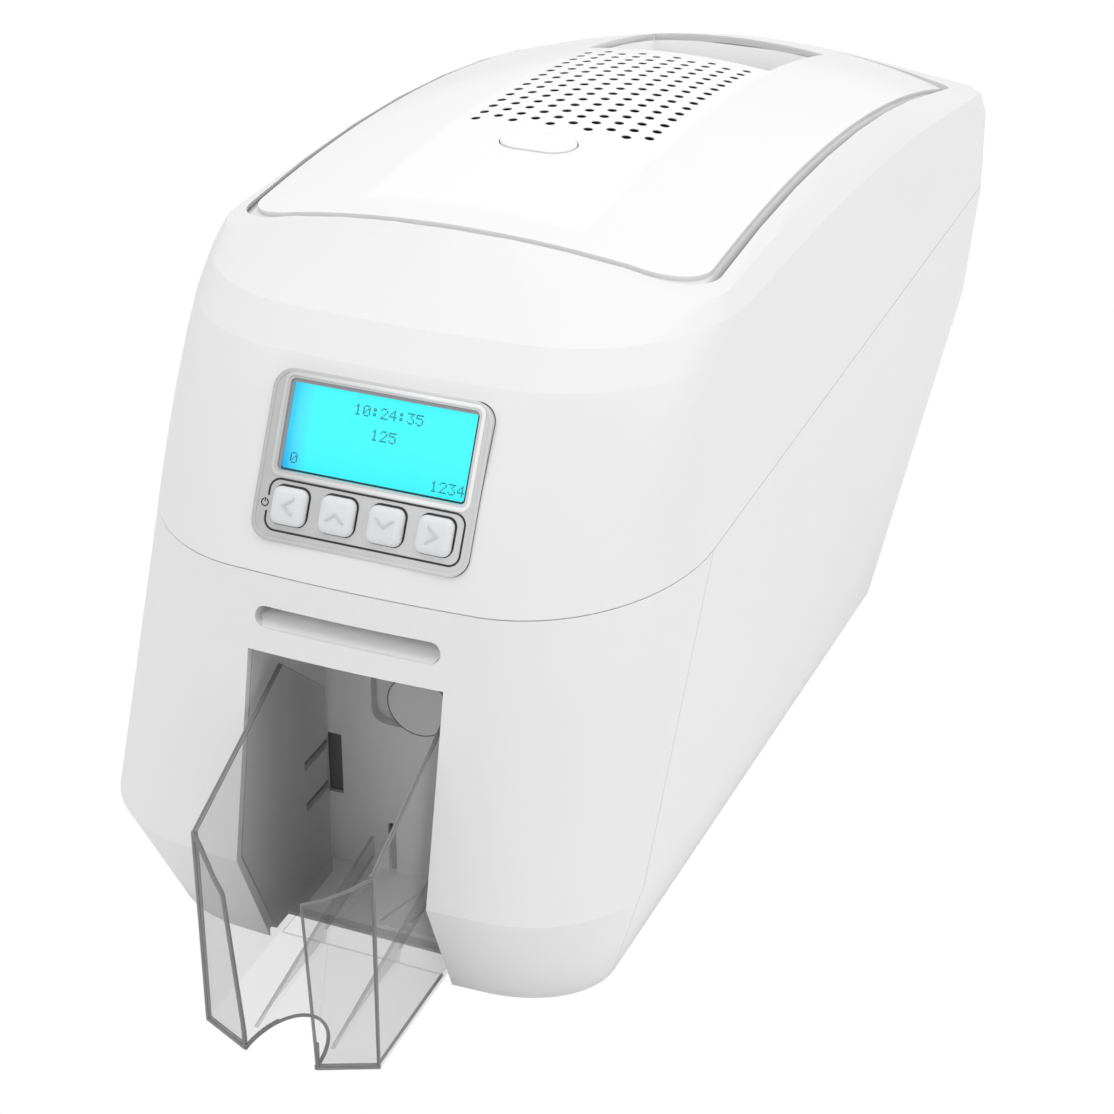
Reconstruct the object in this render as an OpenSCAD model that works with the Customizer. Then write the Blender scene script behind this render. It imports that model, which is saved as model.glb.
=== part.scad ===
// Desktop printer for plastic identity cards: hinged lid with screen and keys,
// rear card hopper, roller and gear drive, ribbon spools and a clear output tray.
// X runs across, the front faces -Y, +Z is up. The origin is on the ground under
// the middle of the whole machine.

/* [Casing] */
// Width of the casing at the seam
body_w = 175; // [165:1:190]
// Depth of the casing, from the foremost point of the front to the rear wall
base_len = 427.5; // [415:0.5:440]
// Height of the seam between base and lid
seam_z = 131.5; // [128:0.5:134]
// Height of the crown of the lid
top_z = 220.5; // [216:0.5:226]
// Wall thickness of the casings
wall = 2.6; // [2.2:0.1:3]
// Gap that shows as a line between casings
seam_gap = 0.35; // [0.25:0.05:0.5]
// Height of the rubber feet
foot_h = 2; // [1.5:0.5:4]
// Diameter of a rubber foot
foot_d = 16; // [12:1:20]

/* [Output bay] */
// Width of the opening of the output bay
bay_w = 62.4; // [61:0.2:66]
// Height of the top edge of the bay
bay_top = 108.5; // [105:0.5:109]
// Depth of the bay behind the front
bay_depth = 62; // [58:1:64]
// Width of the hand feed slot
slot_w = 59; // [57:0.5:62]
// Height of the hand feed slot
slot_h = 6.6; // [5:0.2:8]

/* [Output tray] */
// Outer width of the clear tray
tray_w = 57.2; // [56.8:0.2:59]
// Wall thickness of the clear tray
tray_wall = 1.2; // [1:0.1:1.5]
// Reach of the tray in front of the casing
tray_out = 34.4; // [30:0.2:40]
// Width of the finger gap in the tray front
tray_gap = 24; // [20:1:28]
// Height of the tray's front walls above the ground
tray_h = 71.5; // [66:0.5:76]

/* [Screen and keys] */
// Width of the screen bezel
bezel_w = 67.8; // [64:0.2:70]
// Height of the screen bezel along the slope
bezel_h = 49.4; // [48:0.2:52]
// Backward tilt of the screen bezel
bezel_tilt = 26.6; // [24:0.2:29]
// Side of a square key
key_w = 10.6; // [9:0.2:12]
// Distance between keys
key_pitch = 15.2; // [14:0.1:16]
// Travel of a key
key_travel = 1; // [0.6:0.1:1.4]

/* [Vents] */
// Diameter of a vent hole in the top panel
vent_d = 3.2; // [2.4:0.1:3.6]
// Distance between columns of vent holes
vent_dx = 6.5; // [6:0.1:7]
// Distance between vent holes in a column
vent_dy = 7.1; // [6.5:0.05:8]

/* [Release button] */
// Width of the oval button in the lid
button_w = 25; // [20:0.5:30]
// Length of the oval button from front to rear
button_l = 16; // [12:0.5:18]
// Travel of the release button
button_travel = 2.5; // [1.5:0.1:3]

/* [Card drive] */
// Height of the card path
path_z = 121; // [120.5:0.1:121.5]
// Radius of the transport rollers
roller_r = 7; // [6.5:0.1:7.5]
// Length of the transport rollers
roller_len = 58; // [56:1:60]
// Radius of the roller shafts
shaft_r = 2.5; // [2:0.1:3]
// Running clearance of shafts, on the radius
run_gap = 0.05; // [0.02:0.01:0.08]
// Distance of the side frames from the middle
frame_x = 48; // [46:0.5:50]
// Thickness of the side frames
frame_t = 1.6; // [1.2:0.1:2]
// Gear module
gear_m = 1; // [1:0.05:1.1]
// Width of the gears
gear_w = 5; // [4:0.5:6]

/* [Ribbon] */
// Radius of the full supply roll
supply_r = 19; // [15:0.5:20]
// Radius of the used film roll
takeup_r = 12; // [10:0.5:16]
// Width of the ribbon film
film_w = 60; // [58:0.5:62]

/* [Hopper] */
// Length of a card
card_l = 85.6; // [85.6:0.1:86]
// Width of a card
card_w = 54; // [54:0.1:54.4]
// Clearance around the card in the hopper
card_gap = 1; // [0.6:0.1:1.5]

/* [Hidden] */
$fn = 48;

half_w = body_w / 2;
plate_t = 0.2;

// the hinge axis lies just behind the rear wall, level with the seam
hinge_r = 4;
hinge_y = base_len + 0.6;
hinge_z = seam_z + seam_gap / 2;
hinge_pin_r = 1.5;
hinge_x = 52;
knuckle_w = 12;

y_mid = (hinge_y + hinge_r - tray_out) / 2;

// front faces: the base leans back a little, the lid leans back more and more
chamfer_z = 42;
chamfer_back = 17;
seam_y = 19.3;
lid_lean = [[0, 0], [14.5, 6.3], [30, 14], [45.5, 23], [56, 30.3], [65.5, 40.5]];
crease_z = seam_z + 65.5;
bottom_z = foot_h;
bottom_rear_y = base_len - 118;
rear_kink_z = seam_z - 40;

// crown of the lid
crown_y = 178;
crown_r = 760;
cross_r = 250;
panel_t = 2.6;
groove_w = 3.2;
groove_front_w = 1.6;
groove_d = 1.5;
groove_x = half_w - 10.4;
groove_front = 96;
groove_end = base_len - 32;

// rear opening of the lid over the hopper
notch_w = 68.8;
notch_front = 290;
notch_l = 71;
hopper_wall = 1.8;
hopper_in_w = card_w + 2 * card_gap;
hopper_in_l = card_l + 2 * card_gap;
hopper_y = notch_front + 3.5;

// screen
bezel_t = 6;
bezel_r = 6;
bezel_x = 0.7;
bezel_y = 23.75;
bezel_z = seam_z + 9.5;
window_w = 58.8;
window_h = 26.6;
window_s = 20.4;
key_s = 10.5;
key_gap = 0.35;

// drive layout, measured from the front
front_y = 72;
platen_y = 168;
feed_y = 250;
clean_y = 280;
kick_y = hopper_y + 41;
roller_z = path_z - 0.4 - roller_r;
platen_teeth = 26;
idler_teeth = 40;
small_teeth = 16;
pinion_teeth = 12;
gear_step = gear_m * (platen_teeth + idler_teeth) / 2;
idler_y = platen_y - gear_step;
exit_y = idler_y - gear_step;
small_y = (front_y + exit_y) / 2;
small_r = gear_m * (platen_teeth + small_teeth) / 2;
small_dz = sqrt(small_r * small_r - pow((exit_y - front_y) / 2, 2));
motor_dz = gear_m * (idler_teeth + pinion_teeth) / 2;
gear_x = frame_x + frame_t + 1;
pulley_r = 8;
belt_t = 1.2;
belt_w = 5;

supply_y = 207;
takeup_y = 121;
spool_z = 153;
core_r = 8;
spool_pin_r = 3;

button_y = 160;
button_top = top_z + 0.2;
button_h = 7;
latch_y = 120;
latch_z = 172;
catch_x = 60;

// ---------------------------------------------------------------- helpers

module placed() translate([0, -y_mid, 0]) children();

// an outline drawn in y and z, extruded across the machine
module across(w) rotate([90, 0, 90]) linear_extrude(w, center = true) children();

module rod(r, len, y, z, x = 0)
    translate([x, y, z]) rotate([0, 90, 0]) cylinder(r = r, h = len, center = true);

module rounded_box(w, l, h, r) {
    translate([-w / 2 + r, -l / 2, 0]) cube([w - 2 * r, l, h]);
    translate([-w / 2, -l / 2 + r, 0]) cube([w, l - 2 * r, h]);
    for (x = [-1, 1], y = [-1, 1])
        translate([x * (w / 2 - r), y * (l / 2 - r), 0]) cylinder(r = r, h = h);
}

// plan outline of the casing: elliptical front corners, round rear corners
function half_outline(wf, wr, yf, cx, cy, yr, rr, bow = 1.2) = concat(
    [for (i = [0:4]) [(wf - cx) * i / 5, yf + bow * pow(i / 5, 2)]],
    [for (i = [0:16]) let (a = 90 * i / 16)
        [wf - cx + cx * sin(a), yf + bow + cy * (1 - cos(a))]],
    [for (i = [0:6]) let (a = 90 * i / 6) [wr - rr + rr * cos(a), yr - rr + rr * sin(a)]]);

function both_sides(p) = concat(p, [for (i = [len(p) - 1:-1:1]) [-p[i][0], p[i][1]]]);

module slab(p, z) translate([0, 0, z]) linear_extrude(plate_t) polygon(both_sides(p));

// ---------------------------------------------------------------- casing forms

// the base as a solid, drawn in by t on every side
module base_form(t = 0, rise = 0) {
    hull() {
        slab(half_outline(half_w - 13.3 - t, half_w - 5.2 - t, chamfer_back + t, 34, 26,
            bottom_rear_y - t, 8), bottom_z + t);
        translate([0, 0, chamfer_z]) rotate([2.5, 0, 0])
            slab(half_outline(half_w - 0.6 - t, half_w - 0.3 - t, t, 42, 33, 205, 1), 0);
        slab([[0, 395], [half_w - 0.3 - t, 395], [half_w - 0.3 - t, base_len - 24],
            [half_w - 6 - t, base_len - 7 - t], [half_w - 14 - t, base_len - 4 - t],
            [0, base_len - 4 - t]], rear_kink_z + t);
        slab(half_outline(half_w - t, half_w - t, seam_y + t, 52, 64, base_len - t, 10),
            seam_z + rise - plate_t);
    }
}

// front face of the base in the middle, at height z
function front_at(z) = z < chamfer_z ? chamfer_back * (chamfer_z - z) / (chamfer_z - bottom_z)
    : seam_y * (z - chamfer_z) / (seam_z - chamfer_z);

// region of the front moulding, ahead of the slanted panel line
module front_zone(back = 0)
    across(body_w + 20)
        polygon([[-20, -5], [45 + back, -5], [42.6 + back, bottom_z], [31 + back, chamfer_z],
            [83.7 + back, seam_z], [84.3 + back, seam_z + 1], [-20, seam_z + 1]]);

module base_walls() difference() {
    base_form();
    base_form(wall, 0.1);
}

// the opening in the front, and the room for the liner in the floor behind it
module bay_opening() {
    translate([-bay_w / 2, -10, -1]) cube([bay_w, 90, bay_top + 1]);
    translate([-bay_w / 2 - liner_t - liner_gap, chamfer_back + 1, -1])
        cube([bay_w + 2 * (liner_t + liner_gap),
            bay_depth + liner_t + liner_gap - chamfer_back - 1, bottom_z + wall + 1.1]);
}

slot_z = 118.9;

module feed_slot() {
    for (s = [-1, 1])
        translate([s * (slot_w - slot_h) / 2, -10, slot_z]) rotate([-90, 0, 0])
            cylinder(d = slot_h, h = 90);
    translate([-(slot_w - slot_h) / 2, -10, slot_z - slot_h / 2])
        cube([slot_w - slot_h, 90, slot_h]);
}

// ramp that leads a card in over the lower lip of the slot
module feed_ramp() let (low = slot_z - slot_h / 2)
    across(slot_w - slot_h) polygon([[17.7, low - 4], [17.7, low], [30, low + 1.8],
        [30, low + 0.4], [20, low - 4]]);

module front_moulding() placed() color("gainsboro") {
    difference() {
        intersection() {
            base_walls();
            front_zone();
        }
        bay_opening();
        feed_slot();
    }
    feed_ramp();
}

// plain plate in the underside
floor_y0 = 70;
floor_y1 = bottom_rear_y - 6;
floor_w = body_w - 42;

module base_shell() placed() color("whitesmoke") difference() {
    union() {
        difference() {
            base_walls();
            front_zone(seam_gap);
            bay_opening();
            translate([-floor_w / 2, floor_y0, -1]) cube([floor_w, floor_y1 - floor_y0, wall + 5]);
            // hinge recess around the lid's knuckles
            for (s = [-1, 1])
                rod(hinge_r + 0.4, 2 * knuckle_w / 3 + 1, hinge_y, hinge_z, s * hinge_x);
        }
        for (s = [-1, 1], e = [-1, 1]) intersection() {
            rod(hinge_r, knuckle_w, hinge_y, hinge_z, s * hinge_x + e * (knuckle_w * 5 / 6 + 0.3));
            translate([-half_w, base_len - wall / 2, hinge_z - 12]) cube([body_w, 20, 24]);
        }
        // bosses for the circuit board, standing on the sloping floor
        intersection() {
            base_form(1);
            for (x = [-1, 1], y = [350, 405]) translate([x * 55, y, bottom_z])
                cylinder(r = 4, h = board_z - bottom_z);
        }
    }
    for (s = [-1, 1], e = [-1, 1])
        rod(hinge_pin_r, knuckle_w + 2, hinge_y, hinge_z, s * hinge_x + e * knuckle_w * 5 / 6);
    socket_holes(0.4);
}

module base_plate() placed() color("silver") difference() {
    translate([-floor_w / 2 + 0.3, floor_y0 + 0.3, bottom_z])
        cube([floor_w - 0.6, floor_y1 - floor_y0 - 0.6, wall]);
    for (x = [-1, 1], y = [100, 270])
        translate([x * 52, y, -1]) cylinder(r = 1.6, h = 10);
    for (i = [-3:3])
        translate([i * 12 - 2, 140, -1]) cube([4, 70, 10]);
}

module rubber_feet() placed() color("dimgray")
    for (x = [-1, 1], y = [100, 270])
        translate([x * 52, y, 0]) {
            cylinder(d = foot_d, h = foot_h);
            translate([0, 0, foot_h]) cylinder(r = 1.6, h = wall);
        }

// ---------------------------------------------------------------- output bay

liner_t = 1.6;
liner_gap = 0.3;

// side of the bay: its front edge follows the front wall of the casing
module liner_side() across(liner_t)
    polygon([[bay_depth + liner_t, bottom_z], [front_at(bottom_z) + wall + 2.5, bottom_z],
        [wall + 1.5, chamfer_z], [front_at(bay_top + 1) + wall + 1.5, bay_top + liner_t],
        [bay_depth + liner_t, bay_top + liner_t]]);

bay_floor_y = 30;
bay_floor_t = 1.2;
pocket_x = -15.5;
pocket_z = 59.5;
pocket_top = 92;
pocket_d = 3.4;

module bay_liner() placed() color("lightgray") {
    difference() {
        union() {
            for (s = [-1, 1]) translate([s * (bay_w + liner_t) / 2, 0, 0]) liner_side();
            translate([-bay_w / 2, bay_depth, bottom_z])
                cube([bay_w, liner_t, bay_top + liner_t - bottom_z]);
            translate([-bay_w / 2, 24, bay_top]) cube([bay_w, bay_depth - 24, liner_t]);
            translate([-bay_w / 2, bay_floor_y, bottom_z])
                cube([bay_w, bay_depth - bay_floor_y, bay_floor_t]);
        }
        // card mouth high in the back wall
        translate([-card_w / 2 - 1.5, bay_depth - 1, bay_top - 12]) cube([card_w + 3, 4, 8]);
        // slots for the tray's hooks in the left corner
        translate([-bay_w / 2 - 1, bay_depth - 1, 29]) cube([5.6, 4, 22.5]);
        for (z = [31, 46.5])
            translate([-bay_w / 2 - 3, 45.5, z]) cube([3.2, 18, 3.4]);
        // small upright slot, round at its top
        translate([-11, bay_depth - 1, bottom_z + 1]) cube([2.8, 4, 17.6]);
        translate([-9.6, bay_depth - 1, bottom_z + 18.6]) rotate([-90, 0, 0])
            cylinder(d = 2.8, h = 4);
        pocket_cut(0);
    }
    // shallow pocket with a round boss, behind the back wall
    difference() {
        translate([pocket_x - 1.4, bay_depth + liner_t, pocket_z - 1.4])
            cube([bay_w / 2 - pocket_x + 1.4, pocket_d, pocket_top - pocket_z + 2.8]);
        pocket_cut(1.2);
    }
    translate([1, bay_depth - 0.6, pocket_z + 9.6]) rotate([-90, 0, 0])
        cylinder(r = 10.5, h = pocket_d + liner_t - 0.6);
    // raised outlines on the floor
    translate([0, 0, bottom_z + bay_floor_t]) linear_extrude(0.8) {
        floor_frame([[-4, 34], [26, 34], [22, 55], [2, 55]]);
        floor_frame([[6, 38], [20, 38], [18, 50], [9, 50]]);
    }
}

// the pocket's hollow, its left lower corner rounded, leaving a plate of thickness back
module pocket_cut(back) translate([0, bay_depth + liner_t + pocket_d - back, 0])
    rotate([90, 0, 0]) linear_extrude(pocket_d + liner_t + 1 - back) {
        translate([pocket_x + 5, pocket_z]) square([bay_w / 2 - 1.4 - pocket_x - 5,
            pocket_top - pocket_z]);
        translate([pocket_x, pocket_z + 5]) square([6, pocket_top - pocket_z - 5]);
        translate([pocket_x + 5, pocket_z + 5]) circle(r = 5);
    }

// thin outline of a four-cornered shape
module floor_frame(p) let (c = (p[0] + p[1] + p[2] + p[3]) / 4) difference() {
    polygon(p);
    polygon([for (q = p) c + (q - c) * 0.88]);
}

// ---------------------------------------------------------------- frames

frame_y0 = 64;
frame_y1 = 398;
crossbars = [[84, 70], [245, 95], [320, 95]];

module frame_plate(side) difference() {
    union() {
        across(frame_t) polygon([[frame_y0 + 2, bottom_z + wall], [frame_y0 + 2, 142],
            [100, 142], [106, spool_z + 7], [136, spool_z + 7], [142, 140], [186, 140],
            [192, spool_z + 7], [222, spool_z + 7], [228, 134], [frame_y1, 134],
            [frame_y1, 106], [334, 106], [330, 88], [300, 88], [296, bottom_z + wall]]);
        for (y = [110, 260])
            translate([side < 0 ? -10 : 0, y - 12, bottom_z + wall]) cube([10, 24, frame_t]);
    }
    for (y = [front_y, exit_y, platen_y, feed_y, clean_y, kick_y])
        rod(shaft_r + 2, 10, y, roller_z);
    if (side > 0) {
        rod(shaft_r + 2, 10, idler_y, roller_z);
        rod(shaft_r + 2, 10, small_y, roller_z - small_dz);
        rod(motor_boss_r + 0.1, 10, idler_y, roller_z - motor_dz);
    }
    for (y = [takeup_y, supply_y]) {
        rod(spool_pin_r + 0.3, 10, y, spool_z);
        translate([-5, y - spool_pin_r - 0.3, spool_z]) cube([10, 2 * spool_pin_r + 0.6, 20]);
    }
    for (y = [118, 166, 214]) rod(18, 10, y, 48);
    rod(20, 10, 262, 56);
    for (c = crossbars) rod(2, 10, c[0], c[1]);
}

module side_frame_left() placed() color("lightsteelblue")
    translate([-frame_x - frame_t / 2, 0, 0]) frame_plate(-1);

module side_frame_right() placed() color("lightsteelblue")
    translate([frame_x + frame_t / 2, 0, 0]) frame_plate(1);

module frame_crossbars() placed() color("silver")
    for (c = crossbars) {
        rod(4, 2 * frame_x, c[0], c[1]);
        rod(2, 2 * frame_x + 2 * frame_t, c[0], c[1]);
    }

module card_guide() placed() color("darkgray") difference() {
    union() {
        translate([-frame_x, frame_y0 + 1, path_z - 2.6]) cube([2 * frame_x, 224, 1.6]);
        for (s = [-1, 1]) translate([s * (card_w / 2 + 1.9) - 1.2, frame_y0 + 1, path_z - 1])
            cube([2.4, 224, 1.7]);
    }
    for (y = [front_y, exit_y, platen_y, feed_y, clean_y])
        translate([-roller_len / 2 - 1, y - roller_r - 1, path_z - 5])
            cube([roller_len + 2, 2 * roller_r + 2, 12]);
}

module bush(side, y, z) difference() {
    rod(shaft_r + 2, frame_t, y, z, side * (frame_x + frame_t / 2));
    rod(shaft_r + run_gap, frame_t + 1, y, z, side * (frame_x + frame_t / 2));
}

module shaft_bushes() placed() color("goldenrod") {
    for (s = [-1, 1], y = [front_y, exit_y, platen_y, feed_y, clean_y, kick_y])
        bush(s, y, roller_z);
    bush(1, idler_y, roller_z);
    bush(1, small_y, roller_z - small_dz);
}

// ---------------------------------------------------------------- hopper

hopper_z0 = path_z - 4;
hopper_top = 184;

module input_hopper() placed() color("whitesmoke") {
    y = hopper_y;
    difference() {
        translate([-hopper_in_w / 2 - hopper_wall, y - hopper_wall, hopper_z0])
            cube([hopper_in_w + 2 * hopper_wall, hopper_in_l + 2 * hopper_wall,
                hopper_top - hopper_z0]);
        translate([-hopper_in_w / 2, y, path_z - 1]) cube([hopper_in_w, hopper_in_l, 90]);
        // card mouth at the foot of the front wall, window for the kick roller
        translate([-card_w / 2 - 0.5, y - 5, path_z - 1]) cube([card_w + 1, 10, 1.6]);
        translate([-roller_len / 2 - 1, kick_y - roller_r - 1.5, hopper_z0 - 5])
            cube([roller_len + 2, 2 * roller_r + 3, 9]);
        // thumb cut-outs in the side walls
        translate([-50, y + hopper_in_l / 2, hopper_top]) rotate([0, 90, 0])
            cylinder(r = 14, h = 100);
        across(200) polygon([[y - 5, hopper_top + 1], [y - 5, hopper_top],
            [y + hopper_in_l + 5, hopper_top - 9], [y + hopper_in_l + 5, hopper_top + 1]]);
    }
    for (s = [-1, 1]) translate([s > 0 ? hopper_in_w / 2 + hopper_wall : -frame_x, y + 10, hopper_z0])
        cube([frame_x - hopper_in_w / 2 - hopper_wall, 66, 2]);
}

module card_weight() placed() color("slategray") difference() {
    union() {
        translate([-card_w / 2 + 1, hopper_y + card_gap + 1, path_z])
            cube([card_w - 2, card_l - 2, 5]);
        translate([-10, hopper_y + hopper_in_l / 2 - 2, path_z + 4.2]) cube([20, 4, 14]);
    }
    translate([-20, hopper_y + 16, path_z + 1.6]) cube([40, 16, 8]);
}

// ---------------------------------------------------------------- electronics

board_z = rear_kink_z + 4;

module main_board() placed() color("darkgreen") {
    translate([-62, 335, board_z]) cube([124, base_len - 8 - 335, 1.6]);
    for (x = [-40, -12, 20]) translate([x, 345, board_z + 1.6]) cube([16, 16, 2.4]);
    for (x = [-52, -44, 38, 46]) translate([x, 380, board_z + 1.6]) cylinder(r = 3, h = 7);
    translate([30, 350, board_z + 1.6]) cube([28, 8, 6]);
}

sockets = [[-44, 9, 11], [-22, 12, 11], [4, 16, 13.5]];

module socket_holes(extra)
    for (s = sockets)
        translate([s[0] - s[1] / 2 - extra, base_len - 20, board_z + 1.6 - extra])
            cube([s[1] + 2 * extra, 40, s[2] + 2 * extra]);

module rear_sockets() placed() color("silver")
    for (s = sockets) translate([s[0] - s[1] / 2, base_len - 18, board_z + 1.6]) difference() {
        cube([s[1], 17.5, s[2]]);
        translate([1, 6, 1]) cube([s[1] - 2, 20, s[2] - 2]);
        translate([s[1] / 2 - 2, 4, s[2] / 2 - 1]) cube([4, 8, 2]);
    }

// ---------------------------------------------------------------- gears and rollers

function inv(a) = tan(a) * 180 / PI - a;

// half the angle of a tooth at radius r
function tooth_half(teeth, r) = let (
    rp = gear_m * teeth / 2,
    rb = rp * cos(20),
    play = 0.1 / rp * 180 / PI)
    90 / teeth - play + inv(20) - (r > rb ? inv(acos(rb / r)) : 0);

function gear_outline(teeth) = let (
    rp = gear_m * teeth / 2,
    root = rp - 1.2 * gear_m,
    tip = rp + 0.85 * gear_m,
    low = max(root + 0.05, rp * cos(20) + 0.02),
    rs = [root, low, (low + tip) / 2, tip])
    [for (i = [0:teeth - 1]) let (c = 360 * i / teeth)
        each concat(
            [for (r = rs) let (a = c - tooth_half(teeth, r)) [r * cos(a), r * sin(a)]],
            [for (k = [3:-1:0]) let (a = c + tooth_half(teeth, rs[k]))
                [rs[k] * cos(a), rs[k] * sin(a)]])];

// phase of a gear that meshes with one at phase p, in direction d
function mesh_phase(p, teeth_a, d, teeth_b) =
    d + 180 - (0.5 - (d - p) * teeth_a / 360) * 360 / teeth_b;

module gear(teeth, y, z, phase, bore) translate([gear_x, y, z]) difference() {
    rotate([90, 0, 90]) rotate([0, 0, phase]) linear_extrude(gear_w) polygon(gear_outline(teeth));
    translate([-1, 0, 0]) rotate([0, 90, 0]) cylinder(r = bore, h = gear_w + 2);
    if (teeth > 30)
        for (a = [0:60:300]) rotate([a, 0, 0]) translate([-1, gear_m * teeth * 0.32, 0])
            rotate([0, 90, 0]) cylinder(r = gear_m * teeth * 0.09, h = gear_w + 2);
}

platen_phase = 0;
idler_phase = mesh_phase(platen_phase, platen_teeth, 180, idler_teeth);
exit_phase = mesh_phase(idler_phase, idler_teeth, 180, platen_teeth);
pinion_phase = mesh_phase(idler_phase, idler_teeth, 270, pinion_teeth);
small_dir = 180 + asin(small_dz / small_r);
small_phase = mesh_phase(exit_phase, platen_teeth, small_dir, small_teeth);
front_phase = mesh_phase(small_phase, small_teeth, 360 - small_dir + 180, platen_teeth);

module roller_shaft(y, driven, belted) placed() color("silver") {
    rod(shaft_r, 2 * frame_x + 2 * frame_t - 0.6, y, roller_z);
    if (driven) rod(shaft_r, gear_w + 4, y, roller_z, gear_x + (gear_w - 4) / 2);
    if (belted) {
        rod(shaft_r, 8, y, roller_z, -frame_x - frame_t - 3);
        rod(pulley_r, belt_w, y, roller_z, -frame_x - frame_t - 1.2 - belt_w / 2);
    }
}

module front_shaft() roller_shaft(front_y, true, false);
module exit_shaft() roller_shaft(exit_y, true, false);
module platen_shaft() roller_shaft(platen_y, true, true);
module feed_shaft() roller_shaft(feed_y, false, true);
module clean_shaft() roller_shaft(clean_y, false, true);
module kick_shaft() roller_shaft(kick_y, false, true);

module sleeve(y, shade) placed() color(shade) difference() {
    rod(roller_r, roller_len, y, roller_z);
    rod(shaft_r, roller_len + 2, y, roller_z);
}

module front_sleeve() sleeve(front_y, "dimgray");
module exit_sleeve() sleeve(exit_y, "dimgray");
module platen_sleeve() sleeve(platen_y, "black");
module feed_sleeve() sleeve(feed_y, "dimgray");
module clean_sleeve() sleeve(clean_y, "steelblue");
module kick_sleeve() sleeve(kick_y, "dimgray");

motor_shaft_r = 2;
motor_boss_r = 10.9;
stub_l = frame_t + 1 + gear_w;

module motor_pinion() placed() color("goldenrod") {
    gear(pinion_teeth, idler_y, roller_z - motor_dz, pinion_phase, 1);
    rod(motor_shaft_r, stub_l + 8, idler_y, roller_z - motor_dz, frame_x - 4 + stub_l / 2);
}

module idler_gear() placed() color("white") {
    gear(idler_teeth, idler_y, roller_z, idler_phase, 1);
    rod(shaft_r, stub_l, idler_y, roller_z, frame_x + stub_l / 2);
}

module small_idler_gear() placed() color("white") {
    gear(small_teeth, small_y, roller_z - small_dz, small_phase, 1);
    rod(shaft_r, stub_l, small_y, roller_z - small_dz, frame_x + stub_l / 2);
}

module platen_gear() placed() color("white")
    gear(platen_teeth, platen_y, roller_z, platen_phase, shaft_r);
module exit_gear() placed() color("white")
    gear(platen_teeth, exit_y, roller_z, exit_phase, shaft_r);
module front_gear() placed() color("white")
    gear(platen_teeth, front_y, roller_z, front_phase, shaft_r);

module drive_motor() placed() color("dimgray") difference() {
    z = roller_z - motor_dz;
    union() {
        translate([frame_x - 26, idler_y - 21, z - 21]) cube([26, 42, 42]);
        rod(motor_boss_r, frame_t, idler_y, z, frame_x + frame_t / 2);
    }
    rod(motor_shaft_r + run_gap, 2 * frame_t + 18, idler_y, z, frame_x);
}

module drive_belt() placed() color("black")
    translate([-frame_x - frame_t - 1.2 - belt_w / 2, 0, 0]) difference() {
        belt_loop(pulley_r + 0.05 + belt_t, belt_w - 0.4);
        belt_loop(pulley_r + 0.05, belt_w + 1);
    }

module belt_loop(r, w) {
    rod(r, w, platen_y, roller_z);
    rod(r, w, kick_y, roller_z);
    translate([-w / 2, platen_y, roller_z - r]) cube([w, kick_y - platen_y, 2 * r]);
}

// ---------------------------------------------------------------- ribbon

module spool(y) placed() color("white") {
    rod(core_r, film_w + 8, y, spool_z);
    rod(spool_pin_r, 2 * frame_x + 2 * frame_t + 2, y, spool_z);
    for (s = [-1, 1]) rod(core_r + 4, 2, y, spool_z, s * (film_w / 2 + 5));
}
module supply_spool() spool(supply_y);
module takeup_spool() spool(takeup_y);

module film_roll(y, r) placed() color("indigo") difference() {
    rod(r, film_w, y, spool_z);
    rod(core_r, film_w + 2, y, spool_z);
}
module supply_film() film_roll(supply_y, supply_r);
module takeup_film() film_roll(takeup_y, takeup_r);

// ---------------------------------------------------------------- output tray

tray_z = bottom_z + 1.5;
tray_back_y = 54;
wing_turn = 24;
wing_l = (tray_w - tray_gap) / 2 / cos(wing_turn);
tray_corner_y = wing_l * sin(wing_turn) - tray_out;
gap_a = tray_gap / 2 - 0.8;
gap_b = 20.4;

// plan of one side: the side wall and the front wing angled towards the middle
function side_plan() = let (
    hw = tray_w / 2,
    n = [-sin(wing_turn), cos(wing_turn)] * tray_wall,
    k = tray_wall * tan(45 - wing_turn / 2))
    [[hw, tray_back_y], [hw, tray_corner_y], [tray_gap / 2, -tray_out],
        [tray_gap / 2 + n[0], n[1] - tray_out], [hw - tray_wall, tray_corner_y + k],
        [hw - tray_wall, tray_back_y]];

module tray_side() translate([0, 0, tray_z]) linear_extrude(tray_side_h) polygon(side_plan());

tray_side_h = tray_h + 25.2 - tray_z;
wing_top = [[0, 0], [0.2, 4], [0.48, 11.5], [0.7, 15.5]];

tray_floor_y = 18.5;
fin_x = 12.6;

// sloping rib that the cards lie on
module tray_fin() across(tray_wall) polygon([[-tray_out + 3, tray_z], [tray_floor_y, tray_z],
    [tray_floor_y + 1.5, tray_z + 5], [tray_back_y, 13.7], [tray_back_y, 21.4]]);

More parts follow.
